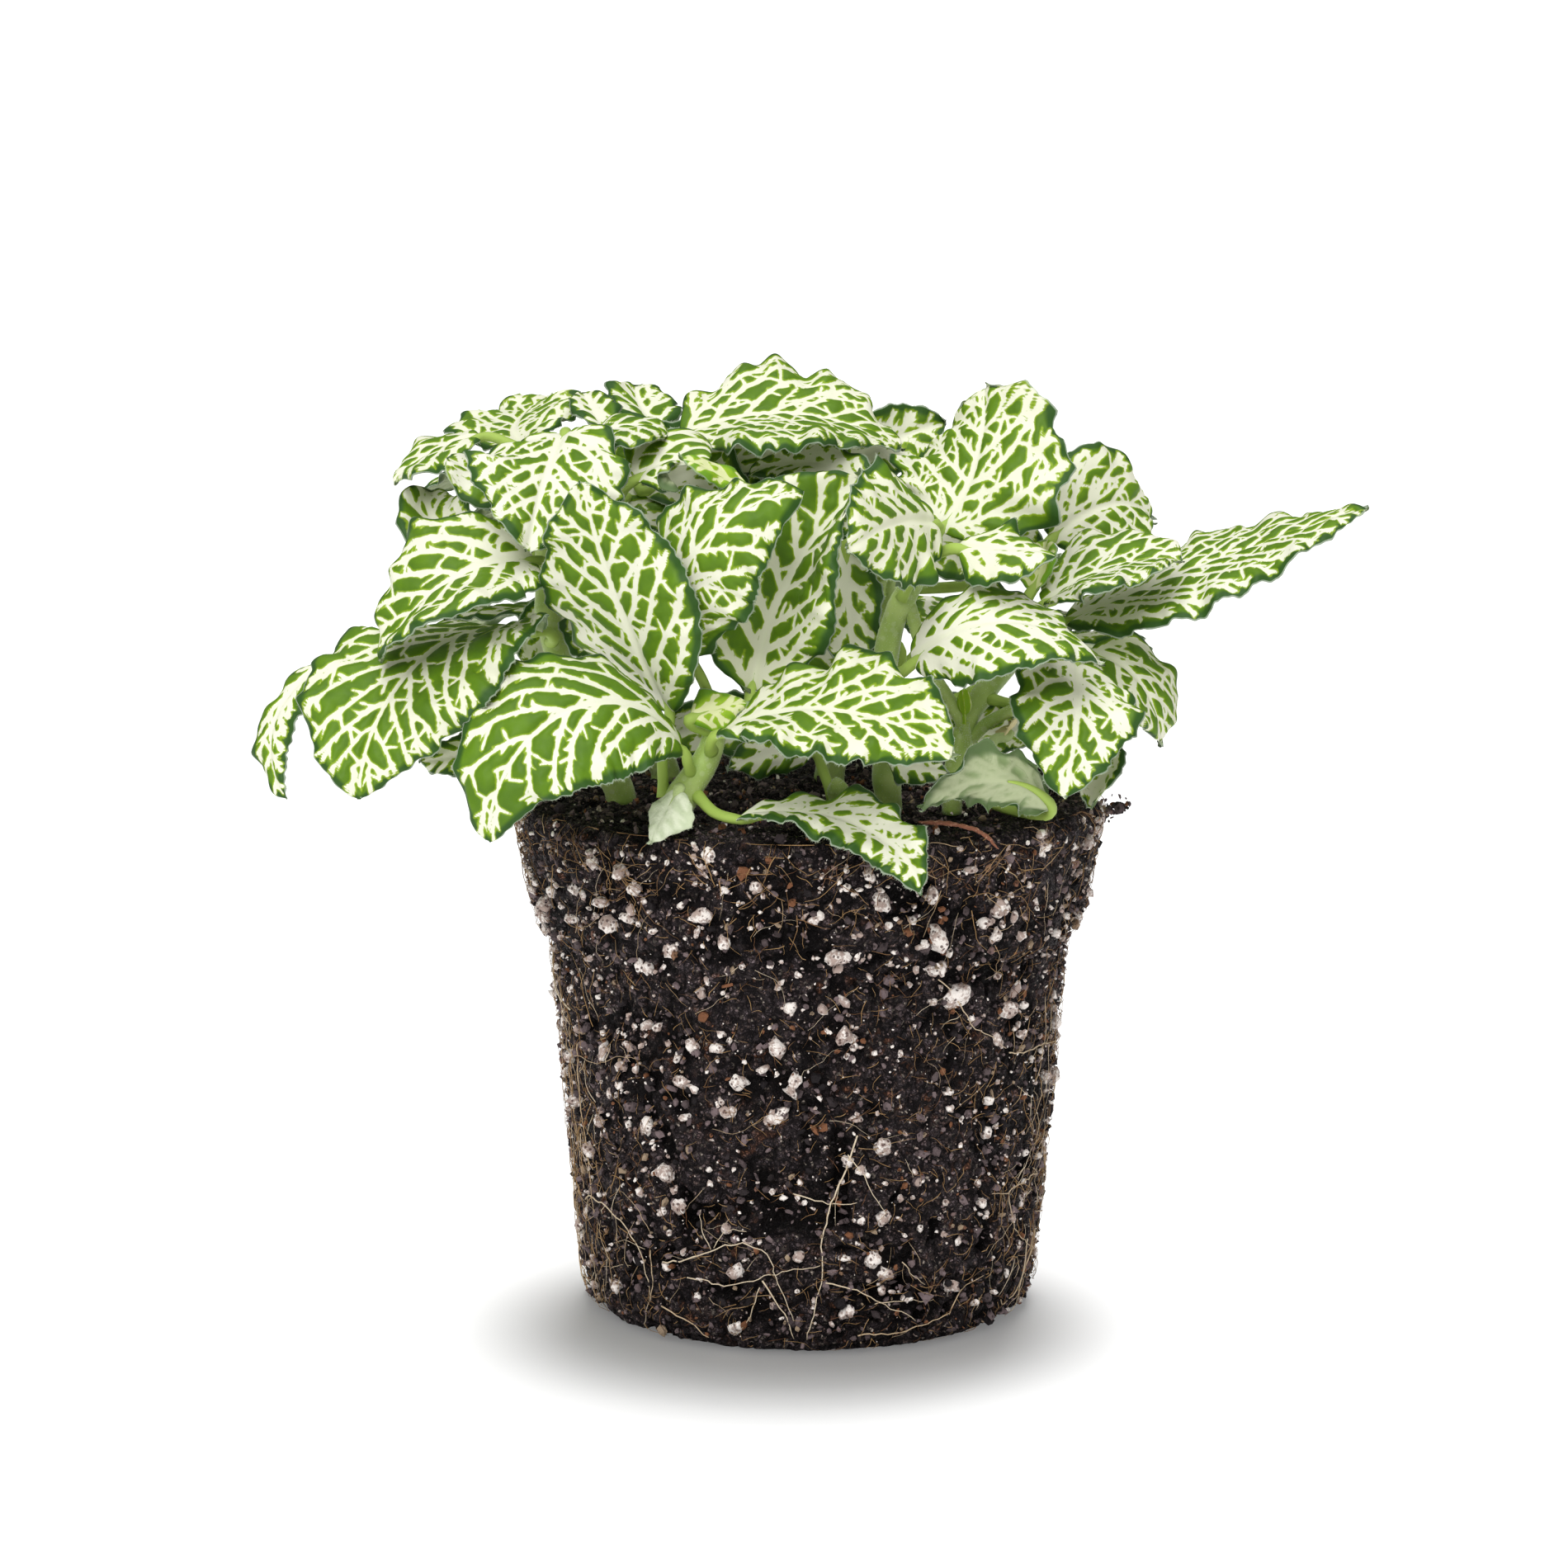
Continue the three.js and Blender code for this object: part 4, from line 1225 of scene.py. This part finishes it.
# How broad the white veins are, how ruffled the blade is, how lobed its margin is and how
# far apart its veins stand.
LOOKS = {
    "front_left": (1.0, 0.9, 0.7, 1.5), "front_right": (0.90, 2.0, 2.4, 0.95),
    "centre_left": (1.05, 1.0, 0.8, 1.0), "centre": (0.90, 1.3, 0.9, 1.05),
    "centre_right": (1.05, 0.9, 0.6, 1.1), "left_low": (1.0, 1.1, 1.6, 1.15),
    "left_mid": (1.05, 1.3, 1.2, 1.0), "crown_left": (1.15, 1.6, 1.5, 0.9),
    "crown_left_back": (1.1, 1.5, 3.2, 0.85), "crown_left_far": (1.0, 1.2, 1.6, 0.85),
    "crown_top": (0.95, 1.7, 2.0, 0.95), "crown_mid": (1.0, 1.6, 1.5, 0.9),
    "right_upright": (0.90, 1.8, 4.6, 0.78), "right_fore": (1.4, 1.5, 1.7, 0.95),
    "right_fore_small": (1.1, 1.4, 1.4, 0.85), "right_centre": (1.3, 0.9, 0.8, 0.85),
    "right_hanging": (1.1, 1.3, 1.8, 1.0), "right_side": (0.95, 1.2, 1.6, 0.9),
    "right_upper": (0.95, 1.2, 1.4, 0.8), "right_back": (0.95, 1.2, 2.2, 0.8),
    "right_long": (0.95, 1.2, 1.4, 0.9), "rim_front": (0.95, 1.8, 1.2, 0.8),
    "rim_right": (0.8, 2.6, 2.4, 0.8), "left_drooping": (0.85, 1.3, 0.8, 0.9),
}

# Shaded leaves among the others: base, then degrees of heading, rise and roll, then length,
# width and degrees of bend.
INNER = [
    ((-12, 6, 152), 165, 30, 60, 34, 24, 20), ((-32, 8, 158), 10, 25, -70, 30, 18, 25),
    ((16, 8, 150), 0, 5, -75, 30, 20, 25), ((6, 10, 162), 20, 30, -70, 24, 14, 20),
    ((7, -10, 150), -84, -65, 0, 26, 13, 5), ((-4, 0, 128), 0, -5, -75, 20, 14, 10),
    ((0, 15, 112), 176, -4, 70, 34, 13, 5), ((14, 15, 111), 4, -2, -70, 32, 14, 5),
    ((-49, 0, 139), 250, -55, 20, 18, 12, 10),
]


def plant():
    """Every stem and leaf of the frame, made fine, and the leaves that are only here.

    Returns the stems.
    """
    stems = []
    for k, node in enumerate(sorted(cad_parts)):
        short = node.removeprefix("leaf_")
        if node.startswith("stem_"):
            stems.append(stem(node))
        elif "young" in node:
            leaf(node, 500 + k, YOUNG, "young_leaf", 0.55, 1.2, 0.9, 0.7, tone=0.4)
        elif short == "withered":
            leaf(node, 500 + k, WITHERED, "withered_leaf", 0.35, 1.0, 1.0, 0.8)
        elif node.startswith("leaf_"):
            looks = LOOKS.get(short, (1.0, 1.2, 1.2, 1.0))
            grain = GRAIN if short in LOOKS else PLAIN_GRAIN
            leaf(node, 500 + k, GREEN, "leaf", *looks, tone=(k * 7 % 10) / 60, grain=grain)
    wood = np.concatenate(STEM_LINES)
    for k, (base, *turns) in enumerate(INNER):
        start = wood[np.linalg.norm(wood - base, axis=1).argmin()]
        leaf(f"inner_leaf_{k}", 700 + k, GREEN, "leaf", 0.9, 1.2, 1.0, 0.9, tone=0.1,
             grain=PLAIN_GRAIN, form=own_form(start, base, *turns))
    scrap = own_form((34.0, -26.5, 113.5), (36.0, -26.0, 115.5), 60, 50, 40, 6.0, 4.5, 60)
    leaf("leaf_scrap", 720, WITHERED, "withered_leaf", 0.35, 2.0, 1.5, 0.6, tone=1.0,
         grain=0.15, form=scrap)
    return stems


def margin_hairs():
    """Fine pale hairs along every leaf's margin, standing outwards."""
    rng = np.random.default_rng(43)
    places, ways = [], []
    for line, out in MARGINS:
        far = run_length(line)
        at = np.sort(rng.uniform(0, far[-1], int(far[-1] * 3.0)))
        places.append(np.stack([np.interp(at, far, line[:, k]) for k in range(3)], -1))
        ways.append(np.stack([np.interp(at, far, out[:, k]) for k in range(3)], -1))
    hairs("margin_hairs", places, ways, rng, 0.2, 0.6, 0.03)


def branch(points, radii):
    """A stem's branch through given points, its radius easing between two values."""
    line = np.array(points)
    far = run_length(line)
    path = through(far, line, np.linspace(0, far[-1], 30))
    return tube(path, np.linspace(*radii, 30), 18)


def bud_ribs(shape):
    """How far the bud's skin stands out in ribs that wind round it."""
    return 0.10 * np.sin(9 * np.arctan2(shape[:, 1] + 23.9, shape[:, 0] - 29.1) + 0.8 * shape[:, 2])


def bud():
    """The right stem's fork: a branch that leans left, an arm to the right, and a hairy
    crotch between them that carries a small pointed bud."""
    left = branch([(29.4, -22.6, 113.5), (28.9, -22.8, 117.5), (26.2, -23.2, 122.4),
                   (23.2, -23.4, 127.2), (20.6, -23.4, 134.0), (18.6, -23.0, 141.0)], (1.35, 1.25))
    arm = branch([(29.8, -22.2, 113.8), (33.2, -22.8, 117.4), (37.0, -23.4, 119.7),
                  (40.8, -24.4, 121.6), (47.0, -26.2, 127.0)], (1.3, 1.0))
    crotch = branch([(29.5, -22.8, 113.5), (29.3, -23.4, 116.0), (29.3, -23.9, 118.0)], (1.6, 0.8))
    points, faces, _ = joined([left, arm, crotch])
    shape, faces, _ = welded(points, faces)
    made = piece("stem_fork", shape, faces, STEM)
    rise = np.linspace(0, 1, 24)
    line = np.array([29.3, -24.4, 117.6]) + rise[:, None] * (-0.2, -0.4, 7.2)
    swell = 0.4 + 1.05 * np.clip(np.sin(np.pi * np.clip((rise - 0.3) / 0.7, 0, 1) ** 0.85), 0, 1) ** 0.8
    shape, faces = tube(line, swell * (1 - 0.95 * np.clip((rise - 0.93) / 0.07, 0, 1)), 28, 0.6)
    shape = shape + unit((shape - line[12]) * (1, 1, 0.01)) * bud_ribs(shape)[:, None]
    shape, faces, _ = welded(shape, faces)
    count = np.full(len(shape), 1.0)
    piece("bud", shape, faces, YOUNG,
          {"vein": 0.35 - 4 * bud_ribs(shape), "rim": 4 * count, "face": count, "tone": 0.4 * count})
    return made


def sun(name, spread, power, lean, turn):
    """A broad sun: its spread, lean from straight down and turn are in degrees."""
    light = bpy.data.lights.new(name, "SUN")
    light.angle = np.radians(spread)
    light.energy = power
    lamp = put(name, light)
    lamp.rotation_euler = (np.radians(lean), 0, np.radians(turn))
    return lamp


def lit_only(lamp, role, thing, state="INCLUDE"):
    """Makes a lamp light (role receiver) or be blocked by (role blocker) one thing only, or
    with the state EXCLUDE, everything but that thing."""
    group = bpy.data.collections.new(lamp.name + "_" + role)
    group.objects.link(thing)
    group.collection_objects[0].light_linking.link_state = state
    setattr(lamp.light_linking, role + "_collection", group)


SKY = 0.26           # the sky's brightness
FLOOR_REACH = 20.0   # metres from the plant to the floor's edges


def stage(soil):
    """A wide white floor under an even white sky. The plant has a soft sun above and one in
    front. The floor has three suns of its own, which only the root ball shades, and a weak one
    that nothing shades."""
    mesh = bpy.data.meshes.new("floor")
    corners = [(FLOOR_REACH * x, FLOOR_REACH * y, 0) for x, y in ((-1, -1), (1, -1), (1, 1), (-1, 1))]
    mesh.from_pydata(corners, [], [(0, 1, 2, 3)])
    floor = put("floor", mesh)
    white, nodes, shader = material("floor_white")
    set_shader(nodes, shader, Base_Color=(0.96, 0.96, 0.96), Roughness=0.9, Specular_IOR_Level=0.1)
    mesh.materials.append(white)
    for lamp in (sun("above", spread=45, power=1.5, lean=6, turn=0),
                 sun("front", spread=34, power=1.9, lean=52, turn=-14)):
        lit_only(lamp, "receiver", floor, "EXCLUDE")
    for lean in (-6, -13, -21):
        lamp = sun(f"floor_{-lean}", spread=20, power=0.98, lean=lean, turn=-8)
        lit_only(lamp, "receiver", floor)
        lit_only(lamp, "blocker", soil)
    lamp = sun("floor_even", spread=20, power=0.5, lean=0, turn=0)
    lit_only(lamp, "receiver", floor)
    lit_only(lamp, "blocker", floor)
    world = bpy.data.worlds.new("studio")
    world.use_nodes = True
    colour, strength = world.node_tree.nodes["Background"].inputs[:2]
    colour.default_value = (1, 1, 1, 1)
    strength.default_value = SKY
    bpy.context.scene.world = world
    bpy.context.scene.view_settings.view_transform = "Standard"


def camera():
    """The camera in front of the plant, a little above it."""
    lens = bpy.data.cameras.new("camera")
    lens.lens = CAMERA_LENS
    lens.sensor_width = 36.0
    made = put("camera", lens)
    made.location = CAMERA_PLACE
    made.rotation_euler = (np.radians(90 - CAMERA_PITCH), 0, 0)
    bpy.context.scene.camera = made


camera()
stage(root_ball())
crumbs()
perlite()
roots()
bark_chip()
surface_hairs("stem_hairs", [*plant(), bud()], seed=41, share=0.5, low=0.5, high=1.3)
margin_hairs()
